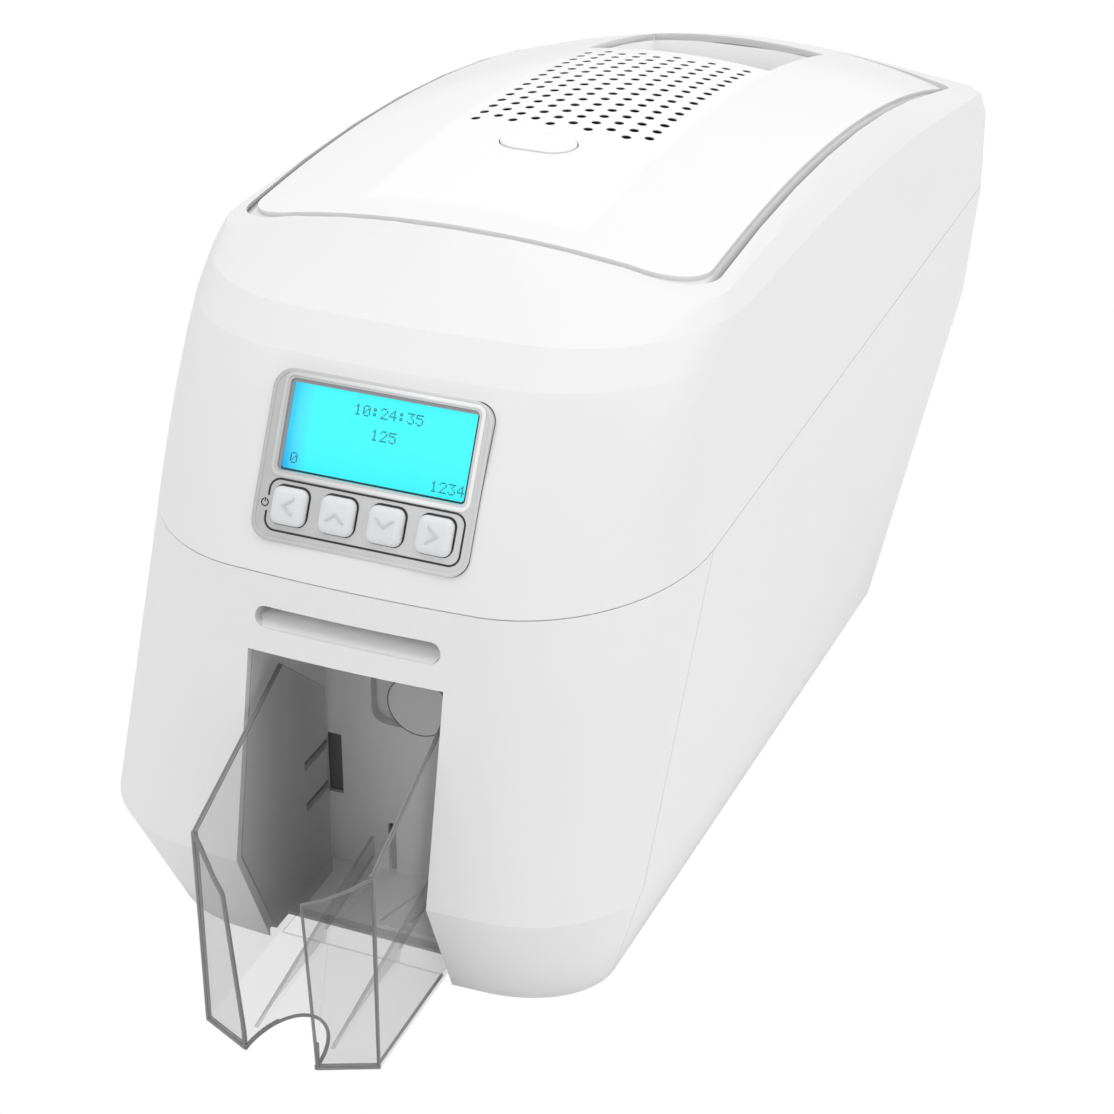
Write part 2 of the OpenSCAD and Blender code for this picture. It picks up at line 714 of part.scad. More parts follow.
module output_tray() placed() color([0.85, 0.87, 0.88, 0.45]) difference() {
    union() {
        tray_side();
        mirror([1, 0, 0]) tray_side();
        translate([0, 0, tray_z]) linear_extrude(tray_wall)
            polygon([[-tray_w / 2, tray_floor_y], [-tray_w / 2, tray_corner_y],
                [-tray_gap / 2, -tray_out], [tray_gap / 2, -tray_out],
                [tray_w / 2, tray_corner_y], [tray_w / 2, tray_floor_y]]);
        for (s = [-1, 1]) translate([s * fin_x, 0, 0]) tray_fin();
    }
    // finger gap in the floor, a half ellipse open to the front
    translate([0, -tray_out, 0]) linear_extrude(10) polygon(concat(
        [[-gap_a, -2]], [for (i = [0:32]) [-gap_a * cos(i * 180 / 32), gap_b * sin(i * 180 / 32)]],
        [[gap_a, -2]]));
    // sloping tops of the side walls
    across(tray_w + 2) polygon([[tray_corner_y - 20, tray_h], [tray_corner_y, tray_h],
        [28, tray_h + 25.2], [tray_back_y, 74], [tray_back_y + 2, 74],
        [tray_back_y + 2, tray_h + 40], [tray_corner_y - 20, tray_h + 40]]);
    // sweeping tops of the front wings, their inner edges leaning outwards
    for (s = [-1, 1])
        translate([0, tray_corner_y + 0.5, 0]) rotate([90, 0, 0]) linear_extrude(20)
            polygon(concat([[s * (tray_w / 2 + 1), tray_h + 1], [s * tray_w / 2, tray_h]],
                [for (p = wing_top) [s * (tray_w - p[0] * (tray_w - tray_gap)) / 2, tray_h - p[1]]],
                [[s * (tray_gap / 2 - 1), tray_z + tray_wall], [0, tray_z + tray_wall],
                    [0, tray_h + 1]]));
}

// ---------------------------------------------------------------- lid

// shoulder lines of the lid: the crease falls away towards the rear
function crease_at(y) = crease_z - pow(max(y - 135, 0), 2) / 2900;
shoulder_ys = [150, 185, 220, 255, 290, 325, 360, 392, base_len - 10];

// the lid as a solid, drawn in by t on every side; drop sinks its foot below the seam
module lid_form(t = 0, drop = 0) {
    hull() {
        for (p = lid_lean) {
            side = half_w - 2.1 * p[0] / 65.5 - t;
            rear = p[0] > 60 ? 150 : base_len - (p[0] > 31 ? 110 : 0) - t;
            slab(half_outline(side, side, seam_y + p[1] + t, 52, 64 - 8 * p[0] / 65.5, rear, 10),
                seam_z + seam_gap + p[0] - (p[0] > 0 ? 0 : drop) - (p[0] > 60 ? t : 0));
        }
        slab(half_outline(half_w - 6.2 - t, half_w - 6.2 - t, 86 + t, 26, 22, 155, 1),
            crease_z + 6.6 - t);
        for (y = shoulder_ys) {
            rise = 7.2 - 5 * max(y - 240, 0) / (base_len - 240);
            ridge(half_w - 2.1 - t - (y > 400 ? 1.5 : 0), y, crease_at(y) - t);
            ridge(half_w - 6.2 - t - (y > 400 ? 2 : 0), y, crease_at(y) + rise - t);
            ridge(groove_x + 0.6, y, crown_at(groove_x, y) - 0.8 - t - (y > 400 ? 2 : 0));
        }
        ridge(half_w - 12 - t, base_len - t - 0.5, crease_at(base_len) - 2 - t);
        // crowned strips ahead of the panel and behind it
        arch(groove_front - 2 + t, 0.4 + t);
        arch(groove_front + 10, 0.4 + t);
        arch(groove_end - 4, t);
        arch(base_len - 12 - t, 0.5 + t);
        arch(base_len - 1 - t, 6 + t);
    }
}

// a row of points along the crown at y, sunk by d
module arch(y, d)
    for (i = [-4:4]) let (x = i * (groove_x - 6) / 4)
        translate([x, y, crown_at(x, y) - d - 0.25]) cube([0.5, 0.5, 0.5], center = true);

function drop_of(r, d) = r - sqrt(r * r - d * d);
function crown_at(x, y) = top_z - drop_of(crown_r, y - crown_y) - drop_of(cross_r, x);

module ridge(hw, y, z) translate([-hw, y, z]) cube([2 * hw, 0.5, 0.5]);

// outline of the inset panel, drawn in by t at the sides and tf at the front
module panel_outline(t = 0, tf = 0)
    polygon(both_sides(half_outline(groove_x - t, groove_x - t, groove_front - 3 + tf, 20, 16,
        groove_end - tf, 6, 4)));

// crowned layer between two depths below the top surface: its cross profile, turned
// about an axis across the machine
module crown_layer(d0, d1)
    translate([0, crown_y, top_z - crown_r]) rotate([0, 90, 0]) rotate([0, 0, 158])
        rotate_extrude(angle = 32, $fn = 360) difference() {
            intersection() {
                translate([crown_r - cross_r, 0]) circle(r = cross_r - d0, $fn = 200);
                translate([crown_r - 40, -half_w]) square([60, body_w]);
            }
            translate([crown_r - cross_r, 0]) circle(r = cross_r - d1, $fn = 200);
        }

module prism() translate([0, 0, 100]) linear_extrude(200) children();

module release_hole(extra) {
    r = button_l / 2;
    for (s = [-1, 1]) translate([s * (button_w / 2 - r), button_y, 100])
        cylinder(r = r + extra, h = 200);
    translate([-button_w / 2 + r, button_y - r - extra, 100])
        cube([button_w - 2 * r, button_l + 2 * extra, 200]);
}

module notch_hole()
    translate([-notch_w / 2, notch_front, 100]) cube([notch_w, notch_l, 200]);

// tabs inside the rim that the top panel lies on
tab_ys = [150, 200, 250, 330];

module panel_tabs()
    for (s = [-1, 1], y = tab_ys) let (
        top = min(rail_at(y), rail_at(y + 6)) - 1.07 * panel_t - 0.25)
        translate([s * panel_edge, y, top]) rotate([0, s * panel_lean, 0])
            translate([s > 0 ? -2.5 : -6, 0, -2.6]) cube([8.5, 6, 2.6]);

panel_edge = groove_x - groove_w;
panel_lean = asin(panel_edge / cross_r);

// height of the panel's top surface along its edge
function rail_at(y) = top_z - crown_r
    + sqrt(pow(crown_r - drop_of(cross_r, panel_edge), 2) - pow(y - crown_y, 2));

module lid_shell() placed() color("whitesmoke") difference() {
    union() {
        difference() {
            lid_form();
            lid_form(wall, 2);
            prism() panel_outline(0);
            for (s = [-1, 1], e = [-1, 1])
                rod(hinge_r + 0.4, knuckle_w + 1, hinge_y, hinge_z,
                    s * hinge_x + e * (knuckle_w * 5 / 6 + 0.3));
        }
        panel_tabs();
        for (s = [-1, 1]) intersection() {
            rod(hinge_r, 2 * knuckle_w / 3 - 0.2, hinge_y, hinge_z, s * hinge_x);
            translate([-half_w, base_len - wall / 2, hinge_z - 12]) cube([body_w, 20, 24]);
        }
    }
    for (s = [-1, 1]) rod(hinge_pin_r + run_gap, knuckle_w + 2, hinge_y, hinge_z, s * hinge_x);
    bezel_place() translate([0, 0, -20]) rounded_box(bezel_w + 0.5, bezel_h + 0.5, 60, bezel_r);
}

module hinge_pins() placed() color("silver")
    for (s = [-1, 1]) rod(hinge_pin_r, 2 * knuckle_w + 6, hinge_y, hinge_z, s * hinge_x);

vent_cols = 10;
vent_rows = 15;
vent_y = 177.5;

// staggered columns of vent holes over the fan
module vents()
    for (i = [0:vent_cols - 1], j = [0:vent_rows - 1])
        translate([(i - (vent_cols - 1) / 2) * vent_dx, vent_y + (j + (i % 2) / 2) * vent_dy, 150])
            cylinder(d = vent_d, h = 100);

module top_panel() placed() color("white") difference() {
    intersection() {
        crown_layer(0, panel_t);
        prism() panel_outline(0.3, 0.3);
    }
    // groove around the raised middle
    intersection() {
        crown_layer(-2, groove_d);
        difference() {
            prism() panel_outline(-4, -4);
            prism() panel_outline(groove_w, groove_front_w);
        }
    }
    vents();
    release_hole(0.4);
    notch_hole();
}

module release_button() placed() color("white") {
    intersection() {
        release_hole(0);
        translate([-50, 100, button_top - button_h]) cube([100, 100, button_h]);
    }
    translate([0, button_y, arm_top + 0.4]) cylinder(r = 3, h = button_top - button_h - arm_top);
}

module button_spring() placed() color("silver") difference() {
    translate([0, button_y, frame_top + 0.2]) cylinder(r = 5.5, h = button_top - button_h - frame_top - 0.4);
    translate([0, button_y, 0]) cylinder(r = 4, h = 300);
}

frame_top = 188;
frame_low = 185.6;

// inner frame of the lid: carries the head, the fan and the latch
module lid_frame() placed() color("gray") difference() {
    union() {
        translate([0, 0, frame_low]) linear_extrude(frame_top - frame_low)
            polygon(both_sides([[0, 92], [64, 92], [half_w - wall - 2.6, 114],
                [half_w - wall - 2.6, 238], [70, 286], [0, 286]]));
        // ears for the latch bar
        for (s = [-1, 1]) translate([s * 66 - 2, latch_y - 6, latch_z - 6])
            cube([4, 12, frame_low - latch_z + 6]);
    }
    for (s = [-1, 1]) rod(2 + run_gap, 20, latch_y, latch_z, s * 66);
    translate([0, button_y, 0]) cylinder(r = 3.4, h = 300);
    translate([0, fan_y, 0]) cylinder(r = fan_r - 1, h = 300);
    for (s = [-1, 1]) translate([s * 57 - 6, 130, 0]) cube([12, 140, 300]);
}

module printhead() placed() color("dimgray") {
    translate([-35, platen_y - 9, path_z + 12]) cube([70, 18, 9]);
    translate([-32, platen_y - 4, path_z + 1]) cube([64, 8, 11]);
}

module heatsink() placed() color("silver") {
    translate([-35, platen_y - 12, path_z + 21]) cube([70, 24, 5]);
    for (i = [-5:5]) translate([i * 6.6 - 1, platen_y - 12, path_z + 26])
        cube([2, 24, (i == 0 ? latch_z + 1 - button_travel : frame_low) - path_z - 26]);
}

fan_y = 245;
fan_r = 27;

module fan_housing() placed() color("black") translate([0, fan_y, frame_top]) {
    difference() {
        translate([-30, -30, 0]) cube([60, 60, 13]);
        translate([0, 0, -1]) cylinder(r = fan_r, h = 20);
    }
    // spider with the pin that the rotor turns on
    for (a = [30, 150, 270]) rotate([0, 0, a]) translate([0, -1.5, 0]) cube([fan_r + 1, 3, 1.5]);
    cylinder(r = 9, h = 1.5);
    cylinder(r = 1.5, h = 9);
}

module fan_rotor() placed() color("dimgray") translate([0, fan_y, frame_top + 2])
    difference() {
        union() {
            cylinder(r = 10, h = 10);
            for (i = [0:6]) rotate([0, 0, i * 360 / 7]) translate([8, -1, 1.4])
                rotate([20, 0, 0]) cube([17.5, 1.4, 8]);
        }
        translate([0, 0, -1]) cylinder(r = 1.5 + run_gap, h = 8.3);
    }

// ---------------------------------------------------------------- screen and keys

module bezel_place() translate([bezel_x, bezel_y, bezel_z]) rotate([90 - bezel_tilt, 0, 0])
    translate([0, bezel_h / 2, 0]) children();

module key_at(i) translate([(i - 1.5) * key_pitch + 0.2, key_s - bezel_h / 2, 0]) children();

module screen_bezel() placed() color("silver") bezel_place() difference() {
    translate([0, 0, -bezel_t]) rounded_box(bezel_w, bezel_h, bezel_t + 0.6, bezel_r);
    translate([0.5, window_s + window_h / 2 - bezel_h / 2, -bezel_t - 1])
        rounded_box(window_w, window_h, bezel_t + 3, 1.5);
    for (i = [0:3]) key_at(i) translate([0, 0, -bezel_t - 1])
        rounded_box(key_w + 2 * key_gap, key_w + 2 * key_gap, bezel_t + 3, 2.6);
}

module screen_window() placed() color([0.7, 0.9, 0.95, 0.4]) bezel_place()
    translate([0.5, window_s + window_h / 2 - bezel_h / 2, -2])
        rounded_box(window_w - 0.2, window_h - 0.2, 1.6, 1.4);

module screen_module() placed() color("cyan") bezel_place()
    translate([0.5, window_s + window_h / 2 - bezel_h / 2, -bezel_t])
        rounded_box(window_w - 0.4, window_h - 0.4, bezel_t - 2.2, 1.3);

module key_mat() placed() color("gray") bezel_place()
    translate([-bezel_w / 2 + 1, -bezel_h / 2 + 1, -bezel_t - 2]) cube([bezel_w - 2, bezel_h - 2, 1.9]);

module key_cap(i) placed() color("white") bezel_place() key_at(i) {
    translate([0, 0, key_travel - bezel_t + 0.3])
        rounded_box(key_w, key_w, bezel_t + 1.4 - key_travel - 0.3, 2.3);
}
module key_left() key_cap(0);
module key_up() key_cap(1);
module key_down() key_cap(2);
module key_right() key_cap(3);

// ---------------------------------------------------------------- latch

hook_z = 139;
arm_top = latch_z + 8;

module latch_bar() placed() color("gray") {
    rod(2, 2 * 68, latch_y, latch_z);
    rod(4, 2 * 63, latch_y, latch_z);
    // rear arm under the button
    translate([-4, latch_y, latch_z + 2]) cube([8, button_y - latch_y + 4, arm_top - latch_z - 2]);
    // hooks at both sides
    for (s = [-1, 1]) {
        translate([s * catch_x - 2, latch_y - 3, hook_z]) cube([4, 5, latch_z - hook_z]);
        translate([s * catch_x - 2, latch_y + 1.9, hook_z]) cube([4, 3, 4]);
    }
}

module latch_catches() placed() color("silver")
    for (s = [-1, 1]) {
        translate([s > 0 ? frame_x + frame_t : -catch_x - 3, latch_y + 5.7, hook_z + 4.3])
            cube([catch_x + 3 - frame_x - frame_t, 6, 3]);
    }

module base_screws() placed() color("silver")
    for (s = [-1, 1], y = [110, 260])
        translate([s * (frame_x + 5 + frame_t / 2), y, bottom_z + wall + frame_t]) {
            cylinder(r = 3, h = 2);
        }

front_moulding();
base_shell();
base_plate();
rubber_feet();
bay_liner();
side_frame_left();
side_frame_right();
frame_crossbars();
card_guide();
shaft_bushes();
input_hopper();
card_weight();
main_board();
rear_sockets();
drive_motor();
base_screws();
hinge_pins();
latch_catches();
drive_belt();
front_shaft();
exit_shaft();
platen_shaft();
feed_shaft();
clean_shaft();
kick_shaft();
front_sleeve();
exit_sleeve();
platen_sleeve();
feed_sleeve();
clean_sleeve();
kick_sleeve();
motor_pinion();
idler_gear();
small_idler_gear();
platen_gear();
exit_gear();
front_gear();
supply_spool();
supply_film();
takeup_spool();
takeup_film();
output_tray();
lid_shell();
top_panel();
lid_frame();
printhead();
heatsink();
fan_housing();
fan_rotor();
screen_bezel();
screen_window();
screen_module();
key_mat();
key_left();
key_up();
key_down();
key_right();
release_button();
button_spring();
latch_bar();
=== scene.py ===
import bmesh, bpy, math
from mathutils import Matrix, Vector
from mathutils.bvhtree import BVHTree


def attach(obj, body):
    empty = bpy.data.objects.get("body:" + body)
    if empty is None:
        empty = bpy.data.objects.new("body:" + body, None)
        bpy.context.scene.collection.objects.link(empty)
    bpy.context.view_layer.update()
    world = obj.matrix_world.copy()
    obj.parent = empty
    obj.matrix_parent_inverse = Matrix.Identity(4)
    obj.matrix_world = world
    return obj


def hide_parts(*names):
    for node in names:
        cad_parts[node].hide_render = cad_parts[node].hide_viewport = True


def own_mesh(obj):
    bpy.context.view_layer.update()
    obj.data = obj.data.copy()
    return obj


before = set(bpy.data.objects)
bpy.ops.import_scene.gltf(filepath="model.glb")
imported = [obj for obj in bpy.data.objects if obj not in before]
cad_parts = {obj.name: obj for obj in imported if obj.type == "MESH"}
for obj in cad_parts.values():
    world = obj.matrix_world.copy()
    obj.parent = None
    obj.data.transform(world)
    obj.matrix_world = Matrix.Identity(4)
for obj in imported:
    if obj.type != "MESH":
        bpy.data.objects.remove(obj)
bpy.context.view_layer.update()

MM = 0.001

# Sizes are in printer millimetres: x from the middle, y from the front, z from the ground.
Y_MID = 198.85                              # where the frame's origin lies along the depth
TOP_Z, CROWN_Y = 220.5, 178                 # highest line of the lid
CROWN_R, CROSS_R = 760, 250                 # its radius along the depth, and across
BEZEL_AT = (0.7, 23.75, 141.0)              # foot of the screen panel, on its middle line
TILT = math.radians(26.6)                   # how far the panel leans back
SLOT_W, SLOT_H, SLOT_Z = 59.0, 6.6, 118.9   # hand feed slot
BAY_BACK = 62                               # back wall of the bay
NOTCH_Y, NOTCH_HALF = (290.0, 361.0), 34.4  # rear opening of the lid


def depth(y):
    """A printer depth as the frame's y, in metres."""
    return (y - Y_MID) * MM


# ------------------------------------------------------------------ camera, lights, floor

CAMERA_TURN = (21.88, 28.82, 0.48)          # round, up and roll, in degrees
CAMERA_AT = (0.2780, -0.7128, 0.4731)
FOCAL_PX, PHOTO_PX, SENSOR = 2428.5, 1114, 36


def look():
    """The camera at the photograph's angle."""
    az, el, roll = (math.radians(a) for a in CAMERA_TURN)
    back = Vector((math.sin(az) * math.cos(el), -math.cos(az) * math.cos(el), math.sin(el)))
    right = Vector((math.cos(az), math.sin(az), 0))
    up = back.cross(right)
    r = right * math.cos(roll) + up * math.sin(roll)
    u = up * math.cos(roll) - right * math.sin(roll)
    cam = bpy.data.objects.new("camera", bpy.data.cameras.new("camera"))
    bpy.context.scene.collection.objects.link(cam)
    m = Matrix.Identity(4)
    for i, v in enumerate((r, u, back)):
        for k in range(3):
            m[k][i] = v[k]
    m.translation = Vector(CAMERA_AT)
    cam.matrix_world = m
    cam.data.sensor_width = SENSOR
    cam.data.lens = FOCAL_PX / PHOTO_PX * SENSOR
    cam.data.clip_start, cam.data.clip_end = 0.01, 100
    bpy.context.scene.camera = cam


def area(name, loc, target, size, power):
    """A soft rectangular lamp, turned to its target."""
    data = bpy.data.lights.new(name, "AREA")
    data.shape, data.size, data.size_y = "RECTANGLE", size[0], size[1]
    data.energy = power
    ob = bpy.data.objects.new(name, data)
    bpy.context.scene.collection.objects.link(ob)
    ob.location = loc
    ob.rotation_mode = "QUATERNION"
    ob.rotation_quaternion = (Vector(target) - Vector(loc)).to_track_quat("-Z", "Y")


look()
area("top", (0.1, 0.1, 2.2), (0, 0.1, 0.1), (2.0, 2.0), 20)
area("side", (2.2, 0.1, 1.1), (0, 0.1, 0.1), (1.4, 1.4), 12.2)
area("front", (-0.7, -2.0, 1.6), (0, -0.2, 0.1), (1.4, 1.2), 11.2)


# ------------------------------------------------------------------ node wiring

class S:
    """A shader socket with arithmetic."""
    def __init__(self, m, sock):
        self.m, self.sock = m, sock

    def _op(self, op, *others):
        n = self.m.nodes.new("ShaderNodeMath")
        n.operation = op
        for i, v in enumerate((self,) + others):
            if isinstance(v, S):
                self.m.links.new(v.sock, n.inputs[i])
            else:
                n.inputs[i].default_value = v
        return S(self.m, n.outputs[0])

    def __add__(self, o): return self._op("ADD", o)
    def __sub__(self, o): return self._op("SUBTRACT", o)
    def __rsub__(self, o): return (self * -1) + o
    def __mul__(self, o): return self._op("MULTIPLY", o)
    def __truediv__(self, o): return self._op("DIVIDE", o)
    def __gt__(self, o): return self._op("GREATER_THAN", o)
    def abs(self): return self._op("ABSOLUTE")
    def floor(self): return self._op("FLOOR")
    def frac(self): return self._op("FRACT")
    def sqrt(self): return self._op("SQRT")
    def pow(self, e): return self._op("POWER", e)
    def min(self, o): return self._op("MINIMUM", o)
    def max(self, o): return self._op("MAXIMUM", o)
    def clamp(self): return self.max(0.0).min(1.0)

    def step(self, a, b):
        """0 below a, 1 above b, straight between."""
        n = self.m.nodes.new("ShaderNodeMapRange")
        n.inputs["From Min"].default_value, n.inputs["From Max"].default_value = a, b
        self.m.links.new(self.sock, n.inputs["Value"])
        return S(self.m, n.outputs[0])


class Mat:
    """One procedural material on a Principled shader."""
    def __init__(self, name, rough=0.5, metal=0.0, **fixed):
        self.mat = bpy.data.materials.new(name)
        self.mat.use_nodes = True
        t = self.m = self.mat.node_tree
        self.bsdf = t.nodes["Principled BSDF"]
        self.out = t.nodes["Material Output"]
        self.bsdf.inputs["Roughness"].default_value = rough
        self.bsdf.inputs["Metallic"].default_value = metal
        for k, v in fixed.items():
            self.bsdf.inputs[k.replace("_", " ")].default_value = v
        co = t.nodes.new("ShaderNodeTexCoord")
        sep = t.nodes.new("ShaderNodeSeparateXYZ")
        t.links.new(co.outputs["Object"], sep.inputs[0])
        self.co = co.outputs["Object"]
        self.x, self.y, self.z = (S(t, sep.outputs[i]) for i in range(3))

    def scaled(self, sx, sy, sz):
        n = self.m.nodes.new("ShaderNodeMapping")
        n.inputs["Scale"].default_value = (sx, sy, sz)
        self.m.links.new(self.co, n.inputs["Vector"])
        return n.outputs[0]

    def noise(self, scale, detail=3, rough=0.5, vec=None):
        n = self.m.nodes.new("ShaderNodeTexNoise")
        n.inputs["Scale"].default_value = scale
        n.inputs["Detail"].default_value = detail
        n.inputs["Roughness"].default_value = rough
        self.m.links.new(vec or self.co, n.inputs["Vector"])
        return S(self.m, n.outputs["Fac"])

    def voronoi(self, scale):
        n = self.m.nodes.new("ShaderNodeTexVoronoi")
        n.inputs["Scale"].default_value = scale
        self.m.links.new(self.co, n.inputs["Vector"])
        return S(self.m, n.outputs["Distance"])

    def mix(self, fac, a, b):
        n = self.m.nodes.new("ShaderNodeMix")
        n.data_type = "RGBA"
        ins = [i for i in n.inputs if i.type == "RGBA"]
        fi = n.inputs[0]
        if isinstance(fac, S):
            self.m.links.new(fac.sock, fi)
        else:
            fi.default_value = fac
        for s, v in zip(ins, (a, b)):
            if isinstance(v, tuple):
                s.default_value = (*v, 1)
            else:
                self.m.links.new(v, s)
        return [o for o in n.outputs if o.type == "RGBA"][0]

    def colour(self, sock):
        self.m.links.new(sock, self.bsdf.inputs["Base Color"])
        return self

    def rough(self, s):
        self.m.links.new(s.sock, self.bsdf.inputs["Roughness"])
        return self

    def bump(self, s, strength=0.2, dist=0.0002):
        n = self.m.nodes.new("ShaderNodeBump")
        n.inputs["Strength"].default_value = strength
        n.inputs["Distance"].default_value = dist
        self.m.links.new(s.sock, n.inputs["Height"])
        self.m.links.new(n.outputs[0], self.bsdf.inputs["Normal"])
        return self


# ------------------------------------------------------------------ materials

def plastic(name, c, rough, grain, bump, vary):
    """Moulded plastic: fine grain, and a faint cloudiness in colour and gloss."""
    m = Mat(name, Specular_IOR_Level=0.4)
    cloud = m.noise(14, 4)
    fine = m.noise(grain, 2)
    dark = tuple(v * (1 - vary) for v in c)
    m.colour(m.mix((cloud * 0.7 + fine * 0.3).step(0.35, 0.65), dark, c))
    m.rough(cloud.step(0.3, 0.7) * 0.06 + fine * 0.05 + (rough - 0.055))
    return m.bump(fine, bump, 0.00015)


def metal(name, c, rough, brush, scale):
    """Metal with fine lines along its grain."""
    m = Mat(name, metal=1.0)
    lines = m.noise(scale, 5, 0.6, m.scaled(*brush))
    spots = m.noise(90, 3)
    m.colour(m.mix(lines.step(0.3, 0.7), tuple(v * 0.82 for v in c), c))
    m.rough(lines.step(0.3, 0.7) * 0.14 + spots * 0.1 + (rough - 0.12))
    return m.bump(lines, 0.05, 0.0001)


def rubber(name, c, rough=0.75):
    """Matt rubber with a little dust."""
    m = Mat(name, Specular_IOR_Level=0.3)
    fine, cloud = m.noise(1800, 3), m.noise(60, 4)
    dust = cloud.step(0.5, 0.75)
    m.colour(m.mix(dust * 0.5, c, tuple(min(1, v * 1.7 + 0.02) for v in c)))
    m.rough(cloud * 0.2 + (rough - 0.1))
    return m.bump(fine, 0.25, 0.0002)


CASING = plastic("casing_white", (0.81, 0.81, 0.81), 0.42, 1300, 0.06, 0.02)
GREY = plastic("bay_grey", (0.69, 0.69, 0.695), 0.5, 1400, 0.1, 0.04)
FRAME = plastic("inner_grey", (0.34, 0.35, 0.36), 0.5, 1400, 0.1, 0.06)
BLACK = plastic("black_plastic", (0.022, 0.022, 0.024), 0.4, 1600, 0.12, 0.3)
GEARS = plastic("gear_plastic", (0.72, 0.70, 0.62), 0.38, 1500, 0.05, 0.05)
KEYS = plastic("key_rubber", (0.74, 0.75, 0.76), 0.55, 2200, 0.08, 0.02)
STEEL = metal("plated_steel", (0.62, 0.63, 0.65), 0.38, (2, 2, 60), 30)
BRIGHT = metal("ground_steel", (0.74, 0.75, 0.76), 0.22, (80, 1, 1), 30)
BRONZE = metal("bearing_bronze", (0.62, 0.42, 0.22), 0.4, (1, 30, 30), 40)
SINK = metal("heat_sink_alloy", (0.66, 0.67, 0.68), 0.42, (2, 60, 2), 40)
ROLLER = rubber("roller_rubber", (0.035, 0.035, 0.037))
CLEAN = rubber("cleaning_rubber", (0.05, 0.12, 0.32), 0.5)
FOOT = rubber("foot_rubber", (0.03, 0.03, 0.03))


# bounds of the top panel's zones, in the frame's own metres, each from its soft start to full
LABEL_X, LABEL_FRONT, LABEL_REAR = (0.0340, 0.0368), (-0.0935, -0.0890), (0.0900, 0.0940)
# the vent and groove bounds below say where painted shade goes
VENT_X, VENT_FRONT, VENT_REAR = (0.032, 0.0325), (-0.0230, -0.0225), (0.0868, 0.0872)
VENT_DEPTH, GROOVE_DEPTH, GROOVE_SHADE_X = (0.00008, 0.0003), (0.00035, 0.0011), (0.0735, 0.0766)


def panel():
    """Gloss white top: brighter where the label goes, with painted shade in the vents and the
    groove.
    """
    m = Mat("panel_white", Coat_Weight=0.2, Coat_Roughness=0.1, Specular_IOR_Level=0.4)
    fine, cloud = m.noise(1900, 2), m.noise(12, 4)
    # depth under the crowned surface, in metres
    turn = ((m.y - depth(CROWN_Y)).pow(2) + (m.z - (TOP_Z - CROWN_R) * MM).pow(2)).sqrt()
    turn = turn - (CROWN_R - CROSS_R) * MM
    deep = CROSS_R * MM - (turn * turn + m.x * m.x).sqrt()
    side = m.x.abs()
    mask = (1 - side.step(*LABEL_X)) * m.y.step(*LABEL_FRONT) * (1 - m.y.step(*LABEL_REAR))
    base = m.mix(cloud.step(0.35, 0.65), (0.84, 0.84, 0.84), (0.855, 0.855, 0.855))
    base = m.mix(mask, base, (0.885, 0.885, 0.885))
    # painted shade in the groove: grey along it, near black along its sides
    groove_painted_shade = deep.step(*GROOVE_DEPTH)
    groove_side_painted_shade = side.step(*GROOVE_SHADE_X)
    line = m.mix(groove_side_painted_shade, (0.74, 0.74, 0.74), (0.16, 0.16, 0.16))
    c = m.mix(groove_painted_shade, base, line)
    # painted shade: the inside of the vent holes is coloured near black
    hole = (1 - side.step(*VENT_X)) * deep.step(*VENT_DEPTH)
    hole = hole * m.y.step(*VENT_FRONT) * (1 - m.y.step(*VENT_REAR))
    m.colour(m.mix(hole, c, (0.015, 0.015, 0.016)))
    m.rough(cloud * 0.05 + fine * 0.05 + mask * -0.05 + 0.29)
    return m.bump(fine, 0.03, 0.00015)


def silver(name, low, high):
    """Satin painted plastic of the screen panel, with a painted sheen: darker at the left, lighter
    at the right.
    """
    m = Mat(name, Coat_Weight=0.25, Coat_Roughness=0.2, Specular_IOR_Level=0.5)
    fine, cloud = m.noise(2600, 2), m.noise(30, 3)
    # painted sheen and shade: the colour runs from low at the left to high at the right
    painted_sheen_across = (m.x + 0.034).step(0.0, 0.050)
    m.colour(m.mix((painted_sheen_across + fine * 0.06).clamp(), (low, low, low), (high, high, high)))
    m.rough(cloud * 0.06 + 0.3)
    return m.bump(fine, 0.05, 0.0001)


def board():
    """Circuit board: tracks in lanes, and pads."""
    m = Mat("circuit_board", 0.35, Specular_IOR_Level=0.5)
    tracks = ((m.x * 420).frac() - 0.5).abs().step(0.36, 0.42)
    lanes = m.noise(220, 1).step(0.5, 0.53)
    pads = m.voronoi(330).step(0.16, 0.12)
    base = m.mix(tracks * lanes, (0.01, 0.10, 0.045), (0.02, 0.19, 0.08))
    m.colour(m.mix(pads, base, (0.55, 0.52, 0.36)))
    m.rough(pads * -0.1 + 0.4)
    return m.bump(tracks * lanes + pads, 0.2, 0.0001)


def film():
    """Wound dye film in bands."""
    m = Mat("ribbon_film", 0.16, Coat_Weight=0.4, Coat_Roughness=0.05)
    bands = ((m.x * 24).frac() * 4).floor() / 4
    wind = m.noise(900, 2, 0.5, m.scaled(0.05, 1, 1))
    a = m.mix(bands > 0.2, (0.045, 0.012, 0.11), (0.055, 0.02, 0.13))
    m.colour(m.mix(wind.step(0.4, 0.6), a, (0.08, 0.035, 0.17)))
    m.rough(wind * 0.12 + 0.1)
    return m.bump(wind, 0.12, 0.0001)


